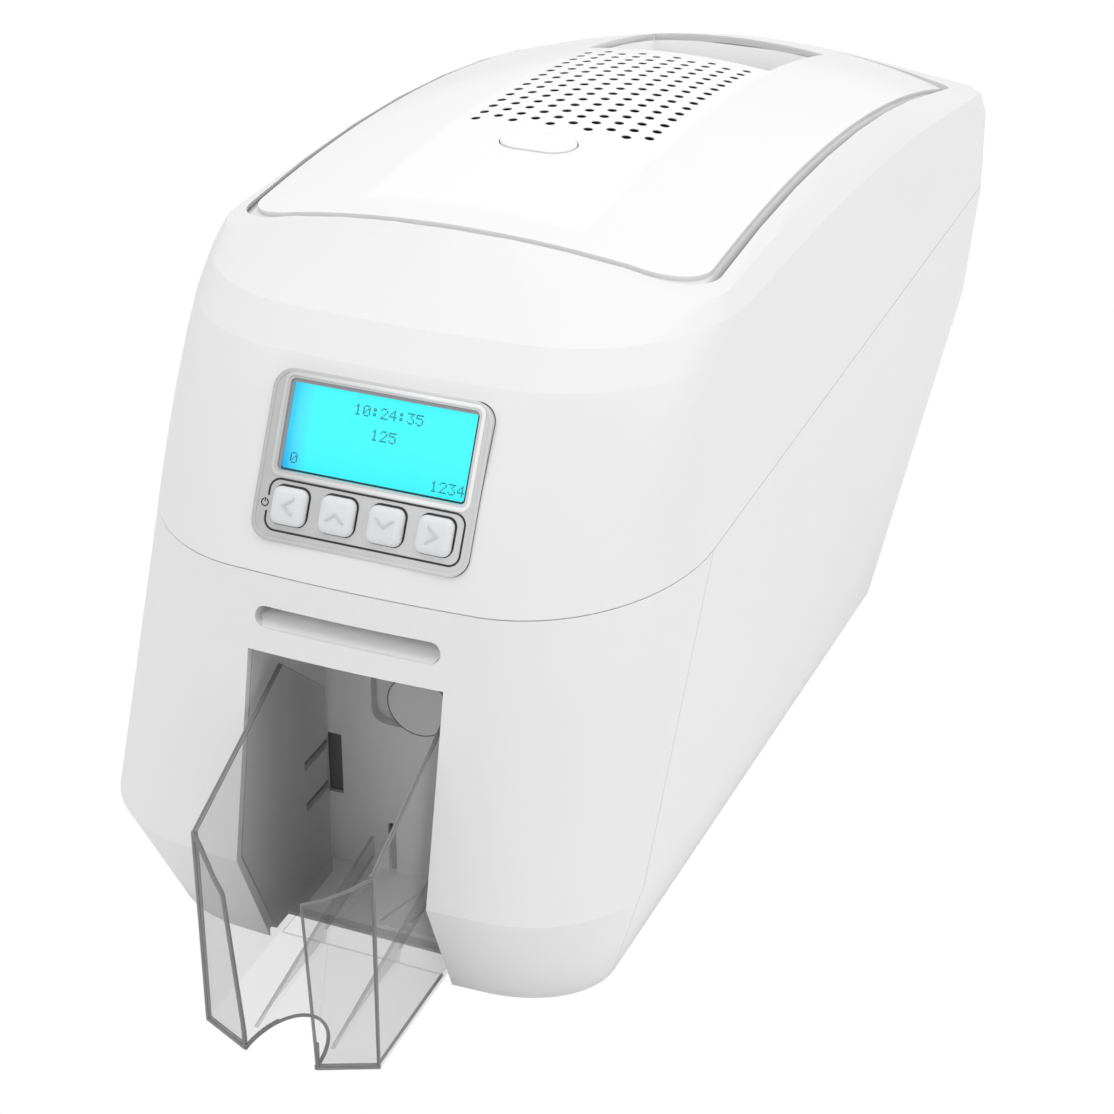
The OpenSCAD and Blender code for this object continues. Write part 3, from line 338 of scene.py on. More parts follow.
def screen():
    """Lit screen: a fine cell grid, bluer at its left side."""
    m = Mat("screen_glow", 0.5)
    x0, y0, z0 = BEZEL_AT
    # up the slope and across the panel, in metres
    s = (m.y - depth(y0)) * math.sin(TILT) + (m.z - z0 * MM) * math.cos(TILT)
    u = m.x - x0 * MM
    cell = ((u * 2600).frac().step(0.04, 0.12) * (s * 2600).frac().step(0.04, 0.12))
    edge = u.step(-0.0292, -0.0215)
    low = s.step(0.020, 0.032)
    glow = m.noise(30, 2)
    left = m.mix(low, (0.02, 0.38, 0.92), (0.06, 0.62, 1.0))
    body = m.mix((glow * 0.4 + low * 0.6).clamp(), (0.0, 0.90, 1.0), (0.035, 0.98, 1.0))
    c = m.mix(edge, left, body)
    c = m.mix(cell * 0.06 + 0.94, (0.0, 0.55, 0.65), c)
    m.m.links.new(c, m.bsdf.inputs["Emission Color"])
    m.colour(m.mix(cell, (0.0, 0.05, 0.06), (0.0, 0.08, 0.09)))
    m.rough(glow * 0.1 + 0.4)
    m.bsdf.inputs["Emission Strength"].default_value = 0.95
    return m


SHADOW_CLEAR = 0.8          # share of the body of clear plastic that casts no shadow


def clear(name, body, tint, rough, least, most):
    """Thin clear plastic: a glossy skin over a see-through one, denser at a glancing angle."""
    m = Mat(name, rough, IOR=1.49, Specular_IOR_Level=0.6)
    scratch = m.noise(260, 4, 0.6, m.scaled(1, 1, 0.2))
    m.rough(scratch.step(0.4, 0.8) * 0.06 + rough)
    t = m.m
    m.colour(m.mix(scratch.step(0.3, 0.7), tuple(v * 0.95 for v in body), body))
    see = t.nodes.new("ShaderNodeBsdfTransparent")
    see.inputs[0].default_value = (*tint, 1)
    lean = t.nodes.new("ShaderNodeLayerWeight")
    lean.inputs["Blend"].default_value = 0.3
    path = t.nodes.new("ShaderNodeLightPath")
    f = S(t, lean.outputs["Facing"]).pow(2.0) * (most - least) + least
    f = f * (1 - S(t, path.outputs["Is Shadow Ray"]) * SHADOW_CLEAR)
    mixer = t.nodes.new("ShaderNodeMixShader")
    t.links.new(f.sock, mixer.inputs[0])
    t.links.new(see.outputs[0], mixer.inputs[1])
    t.links.new(m.bsdf.outputs[0], mixer.inputs[2])
    t.links.new(mixer.outputs[0], m.out.inputs[0])
    return m


TRAY = clear("clear_tray", (0.62, 0.62, 0.62), (0.93, 0.93, 0.93), 0.06, 0.05, 0.45)
TRAY_EDGE = clear("clear_tray_edge", (0.33, 0.33, 0.33), (0.58, 0.58, 0.58), 0.1, 0.6, 0.8)
FIN_EDGE = clear("clear_fin_edge", (0.45, 0.45, 0.45), (0.74, 0.74, 0.74), 0.1, 0.3, 0.6)
WINDOW = clear("window_clear", (0.5, 0.5, 0.5), (0.985, 0.985, 0.985), 0.03, 0.01, 0.15)
BOARD, FILM, GLOW = board(), film(), screen()
GLOSS, BEZEL = panel(), silver("bezel_silver", 0.46, 0.59)
FRAME_SILVER = silver("frame_silver", 0.52, 0.84)
# black for the printed lines, and for the painted shade by the keys and the painted shadow round
# the screen
LINE = plastic("black_print_and_painted_shade", (0.012, 0.012, 0.013), 0.5, 3000, 0.03, 0.3)
# painted light: a whiter colour and a faint glow brighten the shaded walls down to the hopper
SELF_LIT_WALL = plastic("collar_white_self_lit", (0.95, 0.95, 0.95), 0.5, 1300, 0.05, 0.02)
SELF_LIT_WALL.bsdf.inputs["Emission Color"].default_value = (1, 1, 1, 1)
SELF_LIT_WALL.bsdf.inputs["Emission Strength"].default_value = 0.1
SHADOW_GREY = plastic("frame_painted_shade", (0.30, 0.31, 0.33), 0.4, 2600, 0.05, 0.1)
SHADE = plastic("shade_grey", (0.16, 0.16, 0.16), 0.5, 2000, 0.05, 0.1)
# darker than the keys, as painted shade on the raised arrows
ARROW = plastic("arrow_rubber", (0.60, 0.605, 0.61), 0.5, 2200, 0.06, 0.03)
DIGITS = plastic("digit_ink", (0.0, 0.16, 0.19), 0.4, 3000, 0.02, 0.3)

LOOKS = {
    SELF_LIT_WALL: "input_hopper",
    CASING: "front_moulding base_shell lid_shell",
    GLOSS: "top_panel release_button",
    GREY: "bay_liner",
    FRAME: "lid_frame latch_bar card_weight key_mat",
    BLACK: "card_guide drive_belt drive_motor printhead fan_housing fan_rotor",
    GEARS: "idler_gear small_idler_gear platen_gear exit_gear front_gear supply_spool"
           " takeup_spool",
    KEYS: "key_left key_up key_down key_right",
    BEZEL: "screen_bezel",
    STEEL: "base_plate side_frame_left side_frame_right frame_crossbars latch_catches",
    BRIGHT: "front_shaft exit_shaft platen_shaft feed_shaft clean_shaft kick_shaft"
            " base_screws hinge_pins rear_sockets button_spring",
    BRONZE: "shaft_bushes motor_pinion",
    SINK: "heatsink",
    ROLLER: "front_sleeve exit_sleeve platen_sleeve feed_sleeve kick_sleeve",
    CLEAN: "clean_sleeve",
    FOOT: "rubber_feet",
    BOARD: "main_board",
    FILM: "supply_film takeup_film",
    GLOW: "screen_module",
    WINDOW: "screen_window",
    TRAY: "output_tray",
}


def deselect():
    bpy.ops.object.select_all(action="DESELECT")


def only(ob):
    """Selects one object alone and makes it the active one."""
    deselect()
    ob.select_set(True)
    bpy.context.view_layer.objects.active = ob


def dress(ob, finish):
    ob.data.materials.clear()
    ob.data.materials.append(finish.mat)


for finish, names in LOOKS.items():
    for n in names.split():
        dress(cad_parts[n], finish)


# ------------------------------------------------------------------ tray

TRAY_Z = 3.5                                # in printer millimetres: underside of its floor
RIM_R = 0.55                                # in printer millimetres: radius of its edge lines
NARROW = 1.9 * MM                           # a face over more plastic than this is an edge
FRONT_PART, WALL_PART = depth(10), depth(35)    # behind these no floor or wall line shows
FIN_X, FIN_EDGE_HALF, FIN_LINE_HALF, FIN_FRONT = 12.6 * MM, 0.9 * MM, 1.6 * MM, depth(-28)
WALL_INSIDE, CORNER_Y = 27.1 * MM, depth(-20)
FLOOR_TOP, FOOT_TOP = 4.1 * MM, 5.5 * MM
WING_X, WING_BACK, WING_LOW = (11 * MM, 27.6 * MM), depth(-26.2), 13.5 * MM
WING_CORNER, WING_RUN = (28.6, -27.0), (16.6, 7.39)     # in printer millimetres: its plan
WING_OUT = Vector((0.407, -0.914, 0))       # outwards from the right wing's face
# shares of the way in from the corner, and heights: the plate, and the line along its top
WING_PLAN = ((0.02, 71.3), (0.2, 67.5), (0.48, 60), (0.7, 56), (1.0, 13.3), (1.023, 13.3),
             (1.14, 62.6), (0.8, 63.8), (0.4, 67.0))
WING_LINE = ((0.0, 71.2), (0.4, 66.8), (0.8, 63.6), (1.12, 62.3), (1.0, 4.2))


def on_wing(c):
    """Whether a place is on the part of the right wing that tray_wing_right covers."""
    return WING_X[0] < c.x < WING_X[1] and c.y < WING_BACK and c.z > WING_LOW


def is_fin(c, half):
    """Whether a place is on one of the two ribs that the cards lie on."""
    return abs(abs(c.x) - FIN_X) < half and c.y > FIN_FRONT


def tray_edges(ob):
    """Denser materials for the narrow faces, which look dark along the clear walls."""
    ob.data.materials.append(TRAY_EDGE.mat)
    ob.data.materials.append(FIN_EDGE.mat)
    tree = BVHTree.FromPolygons([v.co for v in ob.data.vertices],
                                [tuple(p.vertices) for p in ob.data.polygons])
    for p in ob.data.polygons:
        start = p.center - p.normal * 0.05 * MM
        hit = tree.ray_cast(start, -p.normal, 1.0)
        rear = p.center.y > FRONT_PART and p.normal.y > 0.7
        narrow = not rear and not on_wing(p.center) and (hit[3] is None or hit[3] > NARROW)
        p.material_index = (2 if is_fin(p.center, FIN_EDGE_HALF) else 1) if narrow else 0


tray_edges(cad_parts["output_tray"])


# ------------------------------------------------------------------ shading of the CAD nodes

MERGE = 2e-6            # corners nearer than this are one, in metres


def smooth(ob, angle, edge=0.0, segments=2, limit=40, flat=0.0):
    """Soft shading and a fine edge radius on a CAD node, its own vertices untouched."""
    only(ob)
    bpy.ops.object.shade_smooth()
    ob.modifiers.new("weld", "WELD").merge_threshold = MERGE
    if flat:
        d = ob.modifiers.new("flat", "DECIMATE")
        d.decimate_type, d.angle_limit = "DISSOLVE", math.radians(flat)
    if edge:
        b = ob.modifiers.new("edge", "BEVEL")
        b.width, b.segments, b.limit_method = edge * MM, segments, "ANGLE"
        b.angle_limit = math.radians(limit)
    ob.modifiers.new("crease", "EDGE_SPLIT").split_angle = math.radians(angle)
    n = ob.modifiers.new("normals", "WEIGHTED_NORMAL")
    n.weight, n.keep_sharp = 80, True


# ------------------------------------------------------------------ making pieces

# millimetres on the screen panel's face (right, up the slope, outwards) to metres in the frame
SLOPE = (Matrix.Translation((BEZEL_AT[0] * MM, depth(BEZEL_AT[1]), BEZEL_AT[2] * MM))
         @ Matrix(((1, 0, 0, 0), (0, math.sin(TILT), -math.cos(TILT), 0),
                   (0, math.cos(TILT), math.sin(TILT), 0), (0, 0, 0, 1)))
         @ Matrix.Scale(MM, 4))
# millimetres in the printer's own coordinates, counted from its front, to metres in the frame
PRINTER = Matrix.Translation((0, -Y_MID * MM, 0)) @ Matrix.Scale(MM, 4)


def start_edit(ob, mode="FACE"):
    only(ob)
    bpy.ops.object.mode_set(mode="EDIT")
    bpy.ops.mesh.select_mode(type=mode)
    bpy.ops.mesh.select_all(action="SELECT")


def end_edit():
    bpy.ops.object.mode_set(mode="OBJECT")
    return bpy.context.object


def pick(test):
    """Selects the faces, in edit mode, whose middle passes the test."""
    bm = bmesh.from_edit_mesh(bpy.context.object.data)
    bpy.ops.mesh.select_all(action="DESELECT")
    for f in bm.faces:
        if test(f.calc_center_median()):
            f.select_set(True)
    bmesh.update_edit_mesh(bpy.context.object.data)


def plate(w, h, corner, segments=6, at=(0, 0, 0)):
    """A flat rectangle with round corners, in millimetres, left in edit mode."""
    deselect()
    bpy.ops.mesh.primitive_plane_add(size=1)
    ob = bpy.context.object
    ob.scale, ob.location = (w, h, 1), at
    bpy.ops.object.transform_apply(location=True, rotation=True, scale=True)
    start_edit(ob, "VERT")
    if corner:
        bpy.ops.mesh.bevel(offset=corner, offset_type="OFFSET", segments=segments,
                           affect="VERTICES", clamp_overlap=False)
    bpy.ops.mesh.select_mode(type="FACE")
    bpy.ops.mesh.select_all(action="SELECT")
    return ob


def ring(w, h, corner, width, segments=6, at=(0, 0, 0)):
    """A flat frame of that width, its outer outline w by h, left in edit mode."""
    ob = plate(w, h, corner, segments, at)
    bpy.ops.mesh.inset(thickness=width, use_even_offset=True)
    bpy.ops.mesh.delete(type="FACE")
    bpy.ops.mesh.select_all(action="SELECT")
    return ob


def modify(ob, kind, **settings):
    only(ob)
    m = ob.modifiers.new(kind.lower(), kind)
    for k, v in settings.items():
        setattr(m, k, v)
    bpy.ops.object.modifier_apply(modifier=m.name)


def round_edges(ob, width, segments=2):
    modify(ob, "BEVEL", width=width, segments=segments, limit_method="ANGLE",
           angle_limit=math.radians(40))


def thicken(ob, t, edge=0.0, segments=2):
    """Gives a flat piece its thickness, upwards, and rounds its edges."""
    modify(ob, "SOLIDIFY", thickness=t, offset=1.0)
    if edge:
        round_edges(ob, edge, segments)


def from_data(name, data):
    """A new object in the scene around a mesh or curve."""
    ob = bpy.data.objects.new(name, data)
    bpy.context.scene.collection.objects.link(ob)
    return ob


def from_bmesh(name, bm):
    data = bpy.data.meshes.new(name)
    bm.to_mesh(data)
    bm.free()
    return from_data(name, data)


def copy_of(node, name):
    """A copy of a CAD node's mesh with its loose triangles merged."""
    deselect()
    ob = from_data(name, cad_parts[node].data.copy())
    start_edit(ob, "VERT")
    bpy.ops.mesh.remove_doubles(threshold=MERGE)
    end_edit()
    return ob


def join(parts):
    deselect()
    for p in parts:
        p.select_set(True)
    bpy.context.view_layer.objects.active = parts[0]
    bpy.ops.object.join()
    return parts[0]


def put(ob, name, body, finish, where=SLOPE, angle=35):
    """Names a piece, moves it to its place in its mesh, dresses it and lets it ride."""
    only(ob)
    ob.matrix_world = where @ ob.matrix_world
    bpy.ops.object.transform_apply(location=True, rotation=True, scale=True)
    start_edit(ob)
    bpy.ops.mesh.normals_make_consistent(inside=False)
    end_edit()
    bpy.ops.object.shade_smooth_by_angle(angle=math.radians(angle))
    ob.name = ob.data.name = name
    dress(ob, finish)
    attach(ob, body)
    return ob


# ------------------------------------------------------------------ screen and keys

FACE = 0.6              # height of the screen panel's face in the slope's own coordinates
CAP_WALL = 0.6
CAP_ROUND = ((0.12, 0.42), (0.33, 0.45), (0.62, 0.38), (0.85, 0.22))
KEY_TOP = FACE + 0.1 + CAP_WALL + sum(up for _, up in CAP_ROUND)
KEY_BODIES = ("left_key", "up_key", "down_key", "right_key")
KEYS_X = [0.2 + (i - 1.5) * 15.2 for i in range(4)]
KEYS_S = 10.5
WINDOW_MID = (0.55, 33.6)
SHADE_LEFT, SHADE_TOP = -27.6, 45.6         # the shaded wall runs outside these
POWER_AT, RING_GAP = (-30.7, 10.4), (8.2, 12.6)
FLAT_LINE_THICK = 0.06                                # thickness of the printed lines and of the painted shadow line round the screen


def window_frame():
    """Raised frame round the screen, its inner sides sloping in to the window."""
    mid_x, mid_s = WINDOW_MID
    plate(62.6, 30.4, 3.0, 6, (mid_x, mid_s, FACE - 0.1))
    bpy.ops.mesh.extrude_region_move(TRANSFORM_OT_translate={"value": (0, 0, 0.3)})
    bpy.ops.mesh.inset(thickness=0.3, depth=0.15, use_even_offset=True)
    bpy.ops.mesh.inset(thickness=0.7, use_even_offset=True)
    bpy.ops.mesh.inset(thickness=0.9, depth=-1.3, use_even_offset=True)
    pick(lambda c: abs(c.x - mid_x) < 1 and abs(c.y - mid_s) < 1)
    bpy.ops.mesh.delete(type="FACE")
    ob = end_edit()
    put(ob, "window_frame", "lid", FRAME_SILVER, angle=25)


def frame_shade():
    """A grey sheet of painted shade on the inner wall of the raised frame, along its top and its
    left side.
    """
    ring(60.2, 28.0, 1.8, 1.5, 6, (0.75, 33.45, FACE - 0.62))
    bpy.ops.mesh.bisect(plane_co=(SHADE_LEFT, 0, 0), plane_no=(1, 0, 0))
    bpy.ops.mesh.select_all(action="SELECT")
    bpy.ops.mesh.bisect(plane_co=(0, SHADE_TOP, 0), plane_no=(0, 1, 0))
    pick(lambda c: c.x > SHADE_LEFT and c.y < SHADE_TOP)
    bpy.ops.mesh.delete(type="FACE")
    ob = end_edit()
    thicken(ob, 0.05)
    put(ob, "frame_shade", "lid", SHADOW_GREY)


def bezel_lip():
    """Fine raised edge round the screen panel."""
    ring(68.4, 50.0, 6.3, 1.3, 8, (0, 24.7, FACE - 0.4))
    ob = end_edit()
    thicken(ob, 0.62, edge=0.28, segments=3)
    put(ob, "bezel_lip", "lid", BEZEL)


def key_caps():
    """Pillow tops on the four keys, and black sheets of painted shade that they stand in."""
    for body, x in zip(KEY_BODIES, KEYS_X):
        # painted shade: a black sheet shifted up and right shows as a dark crescent beside the key
        plate(11.5, 11.5, 2.9, 6, (x + 0.32, KEYS_S + 0.4, FACE))
        shade_sheet = end_edit()
        thicken(shade_sheet, 0.03)
        plate(11.0, 11.0, 2.55, 6, (x, KEYS_S, FACE - 1))
        hole = end_edit()
        thicken(hole, 2)
        modify(shade_sheet, "BOOLEAN", operation="DIFFERENCE", object=hole)
        bpy.data.objects.remove(hole)
        put(shade_sheet, "shade_sheet_" + body, "lid", LINE)
        plate(10.9, 10.9, 2.5, 6, (x, KEYS_S, FACE + 0.1))
        bpy.ops.mesh.extrude_region_move(TRANSFORM_OT_translate={"value": (0, 0, CAP_WALL)})
        for inwards, up in CAP_ROUND:
            bpy.ops.mesh.inset(thickness=inwards, depth=up, use_even_offset=True)
        ob = end_edit()
        put(ob, "cap_" + body, body, KEYS, angle=60)


def screen_edge_shadow():
    """Thin black line of painted shadow along the edge of the screen window, on its outer face."""
    ring(58.4, 26.2, 1.4, 0.55, 5, (0.5, 33.7, -0.42))
    ob = end_edit()
    thicken(ob, FLAT_LINE_THICK)
    put(ob, "screen_edge_painted_shadow", "lid", LINE)


def ring_line():
    """Thin black line printed round the keys, open where the power sign stands."""
    low, high = RING_GAP
    ring(61.7, 15.5, 3.6, 0.6, 8, (0.7, POWER_AT[1], FACE))
    bpy.ops.mesh.bisect(plane_co=(0, high, 0), plane_no=(0, 1, 0))
    bpy.ops.mesh.select_all(action="SELECT")
    bpy.ops.mesh.bisect(plane_co=(0, low, 0), plane_no=(0, 1, 0))
    pick(lambda c: c.x < 0 and low < c.y < high)
    bpy.ops.mesh.delete(type="FACE")
    ob = end_edit()
    thicken(ob, FLAT_LINE_THICK)
    put(ob, "key_ring_line", "lid", LINE)


def power_sign():
    """Printed power sign: a circle open at its top, with a bar in the gap."""
    x, s = POWER_AT
    deselect()
    bpy.ops.mesh.primitive_circle_add(vertices=32, radius=1.25, fill_type="NGON",
                                      location=(x, s, FACE))
    ob = bpy.context.object
    bpy.ops.object.transform_apply(location=True)
    start_edit(ob)
    bpy.ops.mesh.inset(thickness=0.36)
    bpy.ops.mesh.delete(type="FACE")
    pick(lambda c: c.y > s + 0.6 and abs(c.x - x) < 0.5)
    bpy.ops.mesh.delete(type="FACE")
    end_edit()
    plate(0.34, 1.3, 0, at=(x, s + 0.8, FACE))
    bar = end_edit()
    ob = join([ob, bar])
    thicken(ob, FLAT_LINE_THICK)
    put(ob, "power_sign", "lid", LINE)


def chevrons():
    """Raised arrow on each key: half of a square frame stood on its corner."""
    for body, x, turn in zip(KEY_BODIES, KEYS_X, (0, -90, 90, 180)):
        ring(4.4, 4.4, 0.0, 0.72)
        ob = end_edit()
        ob.rotation_euler.z = math.radians(45)
        bpy.ops.object.transform_apply(rotation=True)
        start_edit(ob)
        pick(lambda c: c.x > 0)
        bpy.ops.mesh.delete(type="FACE")
        end_edit()
        wide = 1.25 if turn in (0, 180) else 0.95
        ob.scale = (wide, 0.9 if wide > 1 else 1.05, 1)
        ob.location.x = 0
        bpy.ops.object.transform_apply(scale=True)
        thicken(ob, 0.34, edge=0.12)
        shift = Matrix.Translation((1.9, 0, 0))
        ob.matrix_world = (Matrix.Translation((x, KEYS_S, KEY_TOP - 0.02))
                           @ Matrix.Rotation(math.radians(turn), 4, "Z") @ shift)
        put(ob, "arrow_" + body, body, ARROW)


DOTS = {"0": (14, 17, 19, 21, 25, 17, 14), "1": (4, 12, 4, 4, 4, 4, 14),
        "2": (14, 17, 1, 2, 4, 8, 31), "3": (31, 2, 4, 2, 1, 17, 14),
        "4": (2, 6, 10, 18, 31, 2, 2), "5": (31, 16, 30, 1, 1, 17, 14),
        ":": (0, 12, 12, 0, 12, 12, 0)}
PITCH, DOT, LETTER = 0.46, 0.38, 2.75      # between dots, of a dot, between digits
SCREEN_LEFT, SCREEN_TOP, SCREEN_FACE = -28.9, 46.9, -2.17
WORDS = (("10:24:35", 19.9, 4.2), ("125", 26.3, 10.6), ("0", 2.6, 21.2), ("1234", 46.8, 21.6))


def screen_numbers():
    """Plain numbers in a dot matrix: a clock, a counter and two marks over the outer keys."""
    mesh = bmesh.new()
    for text, left, top in WORDS:
        for k, ch in enumerate(text):
            for row, bits in enumerate(DOTS[ch]):
                for col in range(5):
                    if bits >> (4 - col) & 1:
                        at = Vector((SCREEN_LEFT + left + k * LETTER + col * PITCH,
                                     SCREEN_TOP - top - row * PITCH, SCREEN_FACE))
                        bmesh.ops.create_cube(mesh, size=1, matrix=Matrix.Translation(at)
                                              @ Matrix.Diagonal((DOT, DOT, 0.04, 1)))
    put(from_bmesh("screen_numbers", mesh), "screen_numbers", "lid", DIGITS)


# ------------------------------------------------------------------ openings of the casing

def stand_at(place, turn=90, axis="X"):
    """Stands a flat piece up at a place in the printer."""
    turned = Matrix.Rotation(math.radians(turn), 4, axis)
    return PRINTER @ (Matrix.Translation(place) @ turned)


def crown_at(x, y):
    """Height of the lid's top at a place, in printer millimetres."""
    ring_r = CROWN_R - CROSS_R + math.sqrt(CROSS_R ** 2 - x * x)
    return TOP_Z - CROWN_R + math.sqrt(ring_r ** 2 - (y - CROWN_Y) ** 2)


def hopper_collar():
    """Walls that lead down from the lid's rear opening to the card hopper."""
    (y0, y1), half, t = NOTCH_Y, NOTCH_HALF, 1.8
    ring(2 * (half + t), y1 - y0 + 2 * t, 0.0, t, at=(0, (y0 + y1) / 2, 0))
    ob = end_edit()
    modify(ob, "SOLIDIFY", thickness=14.5, offset=-1)
    front, rear = crown_at(half + t, y0 - t) - 0.3, crown_at(half + t, y1 + t) - 0.3
    for v in ob.data.vertices:
        v.co.z += front + (rear - front) * (v.co.y - y0 + t) / (y1 - y0 + 2 * t)
    round_edges(ob, 0.3)
    put(ob, "hopper_collar", "lid", SELF_LIT_WALL, PRINTER)


TUNNEL_FRONT, TUNNEL_LONG = 17.8, 13
LIP_REAR, LIP_FRONT = (29.3, 117.6), (26.9, 115.7)      # half width and height at each end
LIP_ENDS, LIP_FOLD = (17, 31), 20.5
DISC_AT = (1, 69.1)                                     # across and up


def slot_tunnel():
    """Round-ended lining behind the hand feed slot."""
    plate(SLOT_W + 0.1, SLOT_H + 0.1, SLOT_H / 2 - 0.01, 10)
    bpy.ops.mesh.extrude_region_move(TRANSFORM_OT_translate={"value": (0, 0, TUNNEL_LONG)})
    pick(lambda c: c.z < 0.01 or c.z > TUNNEL_LONG - 0.01)
    bpy.ops.mesh.delete(type="FACE")
    bpy.ops.mesh.select_all(action="SELECT")
    bpy.ops.mesh.normals_make_consistent(inside=False)
    ob = end_edit()
    modify(ob, "SOLIDIFY", thickness=0.9, offset=1)
    put(ob, "slot_tunnel", "chassis", CASING, stand_at((0, TUNNEL_FRONT, SLOT_Z), -90))


def slot_lip():
    """Sloping lower lip that leads a card up into the slot."""
    (half, z), (front_half, front_z) = LIP_REAR, LIP_FRONT
    y0, y1 = LIP_ENDS
    plate(2 * half, y1 - y0, 0, at=(0, (y0 + y1) / 2, z))
    bpy.ops.mesh.bisect(plane_co=(0, LIP_FOLD, 0), plane_no=(0, 1, 0))
    ob = end_edit()
    for v in ob.data.vertices:
        if v.co.y < y0 + 1:
            v.co.z, v.co.x = front_z, v.co.x * front_half / half
    modify(ob, "SOLIDIFY", thickness=0.5, offset=-1)
    put(ob, "slot_lip", "chassis", CASING, PRINTER)


def bay_disc():
    """Fine line round the boss in the back wall of the bay."""
    deselect()
    bpy.ops.mesh.primitive_circle_add(vertices=64, radius=10.7, fill_type="NGON")
    ob = bpy.context.object
    start_edit(ob)
    bpy.ops.mesh.inset(thickness=0.4)
    bpy.ops.mesh.delete(type="FACE")
    end_edit()
    thicken(ob, 0.05)
    put(ob, "bay_disc_line", "chassis", SHADE, stand_at((DISC_AT[0], BAY_BACK - 0.58, DISC_AT[1])))


# ------------------------------------------------------------------ tray, button and bay pieces

def is_hidden_line(mid):
    """Edges of the tray that the real one doesn't show as dark lines, and the right wing's."""
    foot = abs(mid.x) < WALL_INSIDE and FLOOR_TOP < mid.z < FOOT_TOP and mid.y > CORNER_Y
    left_foot = mid.z < FOOT_TOP and mid.x < -WALL_INSIDE + 1 * MM and mid.y > CORNER_Y
    rear = mid.y > WALL_PART or mid.y > FRONT_PART and mid.z < FOOT_TOP
    return rear or is_fin(mid, FIN_LINE_HALF) or foot or left_foot or on_wing(mid)


def tray_rim():
    """Dense lines along the edges of the clear tray, where the plastic is seen end on."""
    ob = copy_of("output_tray", "tray_rim")
    start_edit(ob, "VERT")
    bpy.ops.mesh.dissolve_limited(angle_limit=math.radians(2))
    end_edit()
    modify(ob, "DISPLACE", strength=-RIM_R * MM * 0.8, mid_level=0)
    start_edit(ob, "EDGE")
    bpy.ops.mesh.select_all(action="DESELECT")
    bpy.ops.mesh.edges_select_sharp(sharpness=math.radians(50))
    bm = bmesh.from_edit_mesh(ob.data)
    for e in bm.edges:
        if is_hidden_line((e.verts[0].co + e.verts[1].co) / 2):
            e.select_set(False)
    bmesh.update_edit_mesh(ob.data)
    bpy.ops.mesh.select_all(action="INVERT")
    bpy.ops.mesh.delete(type="EDGE")
    end_edit()
    bpy.ops.object.convert(target="CURVE")
    ob = bpy.context.object
    ob.data.bevel_depth, ob.data.bevel_resolution = RIM_R * MM, 1
    bpy.ops.object.convert(target="MESH")
    put(bpy.context.object, "tray_rim", "tray", TRAY_EDGE, Matrix.Identity(4))


def release_spring():
    """A copy of the release button's spring, with a mesh of its own, in place of the CAD node."""
    ob = copy_of("button_spring", "release_spring")
    put(ob, "release_spring", "lid", BRIGHT, Matrix.Identity(4))
    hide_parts("button_spring")
    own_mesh(ob)


def wing_point(share, z):
    """A place on the right wing: its share of the way in from the corner, and its height."""
    return Vector((WING_CORNER[0] - WING_RUN[0] * share, WING_CORNER[1] - WING_RUN[1] * share, z))


def wing_right():
    """The right front wing stands taller than the left one and leans inwards."""
    mesh = bmesh.new()
    corners = [mesh.verts.new(wing_point(a, z) - WING_OUT * 0.06) for a, z in WING_PLAN]
    mesh.faces.new(corners)
    ob = from_bmesh("tray_wing_right", mesh)
    modify(ob, "SOLIDIFY", thickness=1.1, offset=-1)
    round_edges(ob, 0.1)
    put(ob, "tray_wing_right", "tray", TRAY, PRINTER)
    curve = bpy.data.curves.new("tray_wing_rim", "CURVE")
    curve.dimensions, curve.bevel_depth, curve.bevel_resolution = "3D", RIM_R, 2
    line = curve.splines.new("POLY")
    line.points.add(len(WING_LINE) - 1)
    for q, (a, z) in zip(line.points, WING_LINE):
        q.co = (*(wing_point(a, z) - WING_OUT * 0.6), 1)
    only(from_data("tray_wing_rim", curve))
    bpy.ops.object.convert(target="MESH")
    put(bpy.context.object, "tray_wing_rim", "tray", TRAY_EDGE, PRINTER)


def slot_backs():
    """Grey faces a little way behind the slots in the back of the bay."""
    for name, x, z, w, h in (("corner", -28.4, 40.2, 9, 24), ("upright", -9.6, 15, 5, 30)):
        plate(w, h, 0.8, 3)
        ob = end_edit()
        thicken(ob, 0.5)
        put(ob, "slot_back_" + name, "chassis", SHADE, stand_at((x, BAY_BACK + 2.4, z)))
    plate(24, 20, 0.8, 3)
    ob = end_edit()
    thicken(ob, 0.5)
    put(ob, "slot_back_side", "chassis", SHADE, stand_at((-33.9, 54, 40.2), axis="Y"))


def tray_floor():
    """The tray's clear floor, carried on to the edge of the bay's floor."""
    plate(2 * 27.2, 12.8, 0.4, 2, (0, 25.1, TRAY_Z + 0.05))
    ob = end_edit()
    thicken(ob, 1.1, edge=0.1)
    put(ob, "tray_floor_rear", "tray", TRAY, PRINTER)


for make in (tray_rim, wing_right, tray_floor, slot_backs, release_spring, window_frame,
             frame_shade, bezel_lip, key_caps, screen_edge_shadow, ring_line, power_sign, chevrons,
             screen_numbers, hopper_collar, slot_tunnel, slot_lip, bay_disc):
    make()


# ------------------------------------------------------------------ floor

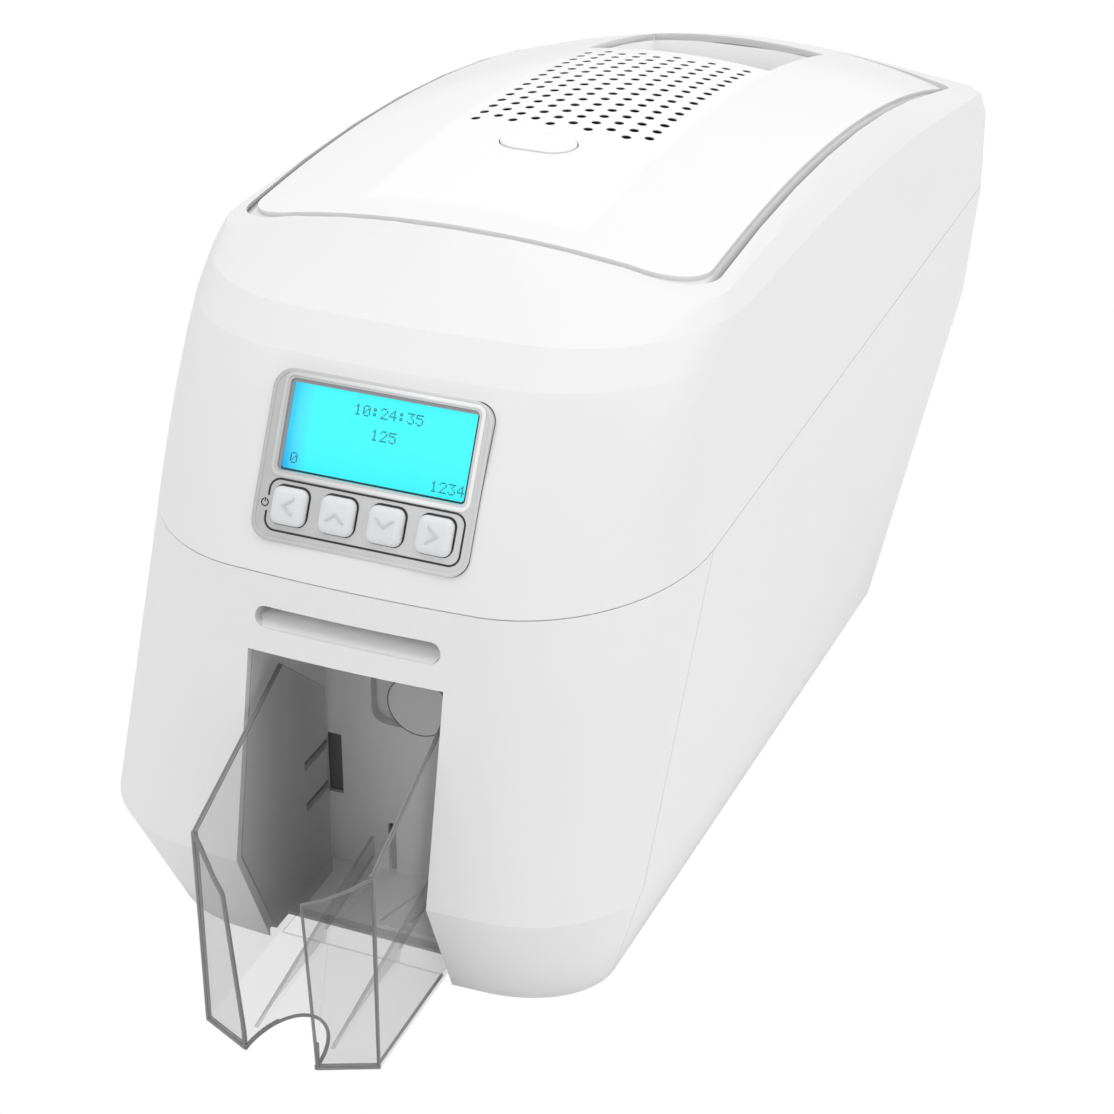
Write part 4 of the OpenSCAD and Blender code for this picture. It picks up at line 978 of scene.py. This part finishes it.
def floor():
    """Plain white to the camera, and a pale matt surface to the light that falls on it."""
    bpy.ops.mesh.primitive_plane_add(size=30, location=(0, 0, -0.0002))
    ob = bpy.context.object
    ob.name = "floor"
    m = Mat("floor_white", 0.9)
    soft = m.noise(3, 2)
    m.colour(m.mix(soft.step(0.3, 0.7), (0.90, 0.90, 0.90), (0.92, 0.92, 0.92)))
    t = m.m
    glow = t.nodes.new("ShaderNodeEmission")
    glow.inputs["Strength"].default_value = 1.0
    path = t.nodes.new("ShaderNodeLightPath")
    mixer = t.nodes.new("ShaderNodeMixShader")
    seen = S(t, path.outputs["Is Camera Ray"]).max(S(t, path.outputs["Is Transmission Ray"]))
    t.links.new(seen.sock, mixer.inputs[0])
    t.links.new(m.bsdf.outputs[0], mixer.inputs[1])
    t.links.new(glow.outputs[0], mixer.inputs[2])
    t.links.new(mixer.outputs[0], m.out.inputs[0])
    ob.data.materials.append(m.mat)


floor()


def studio(level):
    """A white surround that lights the object at a lower level than it shows."""
    world = bpy.data.worlds.new("studio")
    world.use_nodes = True
    w = world.node_tree
    ground = w.nodes["Background"]
    ground.inputs[0].default_value = (1, 1, 1, 1)
    path = w.nodes.new("ShaderNodeLightPath")
    seen = S(w, path.outputs["Is Camera Ray"]).max(S(w, path.outputs["Is Transmission Ray"]))
    seen = seen.max(S(w, path.outputs["Is Glossy Ray"]))
    w.links.new((seen * (1 - level) + level).sock, ground.inputs[1])
    bpy.context.scene.world = world


studio(0.57)
view = bpy.context.scene.view_settings
view.view_transform, view.look, view.exposure, view.gamma = "Standard", "None", 0, 1

# soft shading: crease angle, edge radius, its segments, its limit, flattening
FORMED = {"lid_shell": (9, 0.5, 2, 22, 0.4), "front_moulding": (13, 0.3, 2, 22, 0.4),
          "base_shell": (13, 0.3, 2, 22, 0.4), "screen_bezel": (35, 0.3, 2, 40, 0.5),
          "release_button": (35, 0.5, 3, 40, 0.5), "output_tray": (30, 0.2, 2, 40, 0.5),
          "top_panel": (20,)}
for n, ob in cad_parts.items():
    if n.startswith("key_") and n != "key_mat":
        smooth(ob, 40, 1.1, 4)
    elif n in FORMED:
        a, *rest = FORMED[n]
        smooth(ob, a, *rest)
    else:
        smooth(ob, 30)
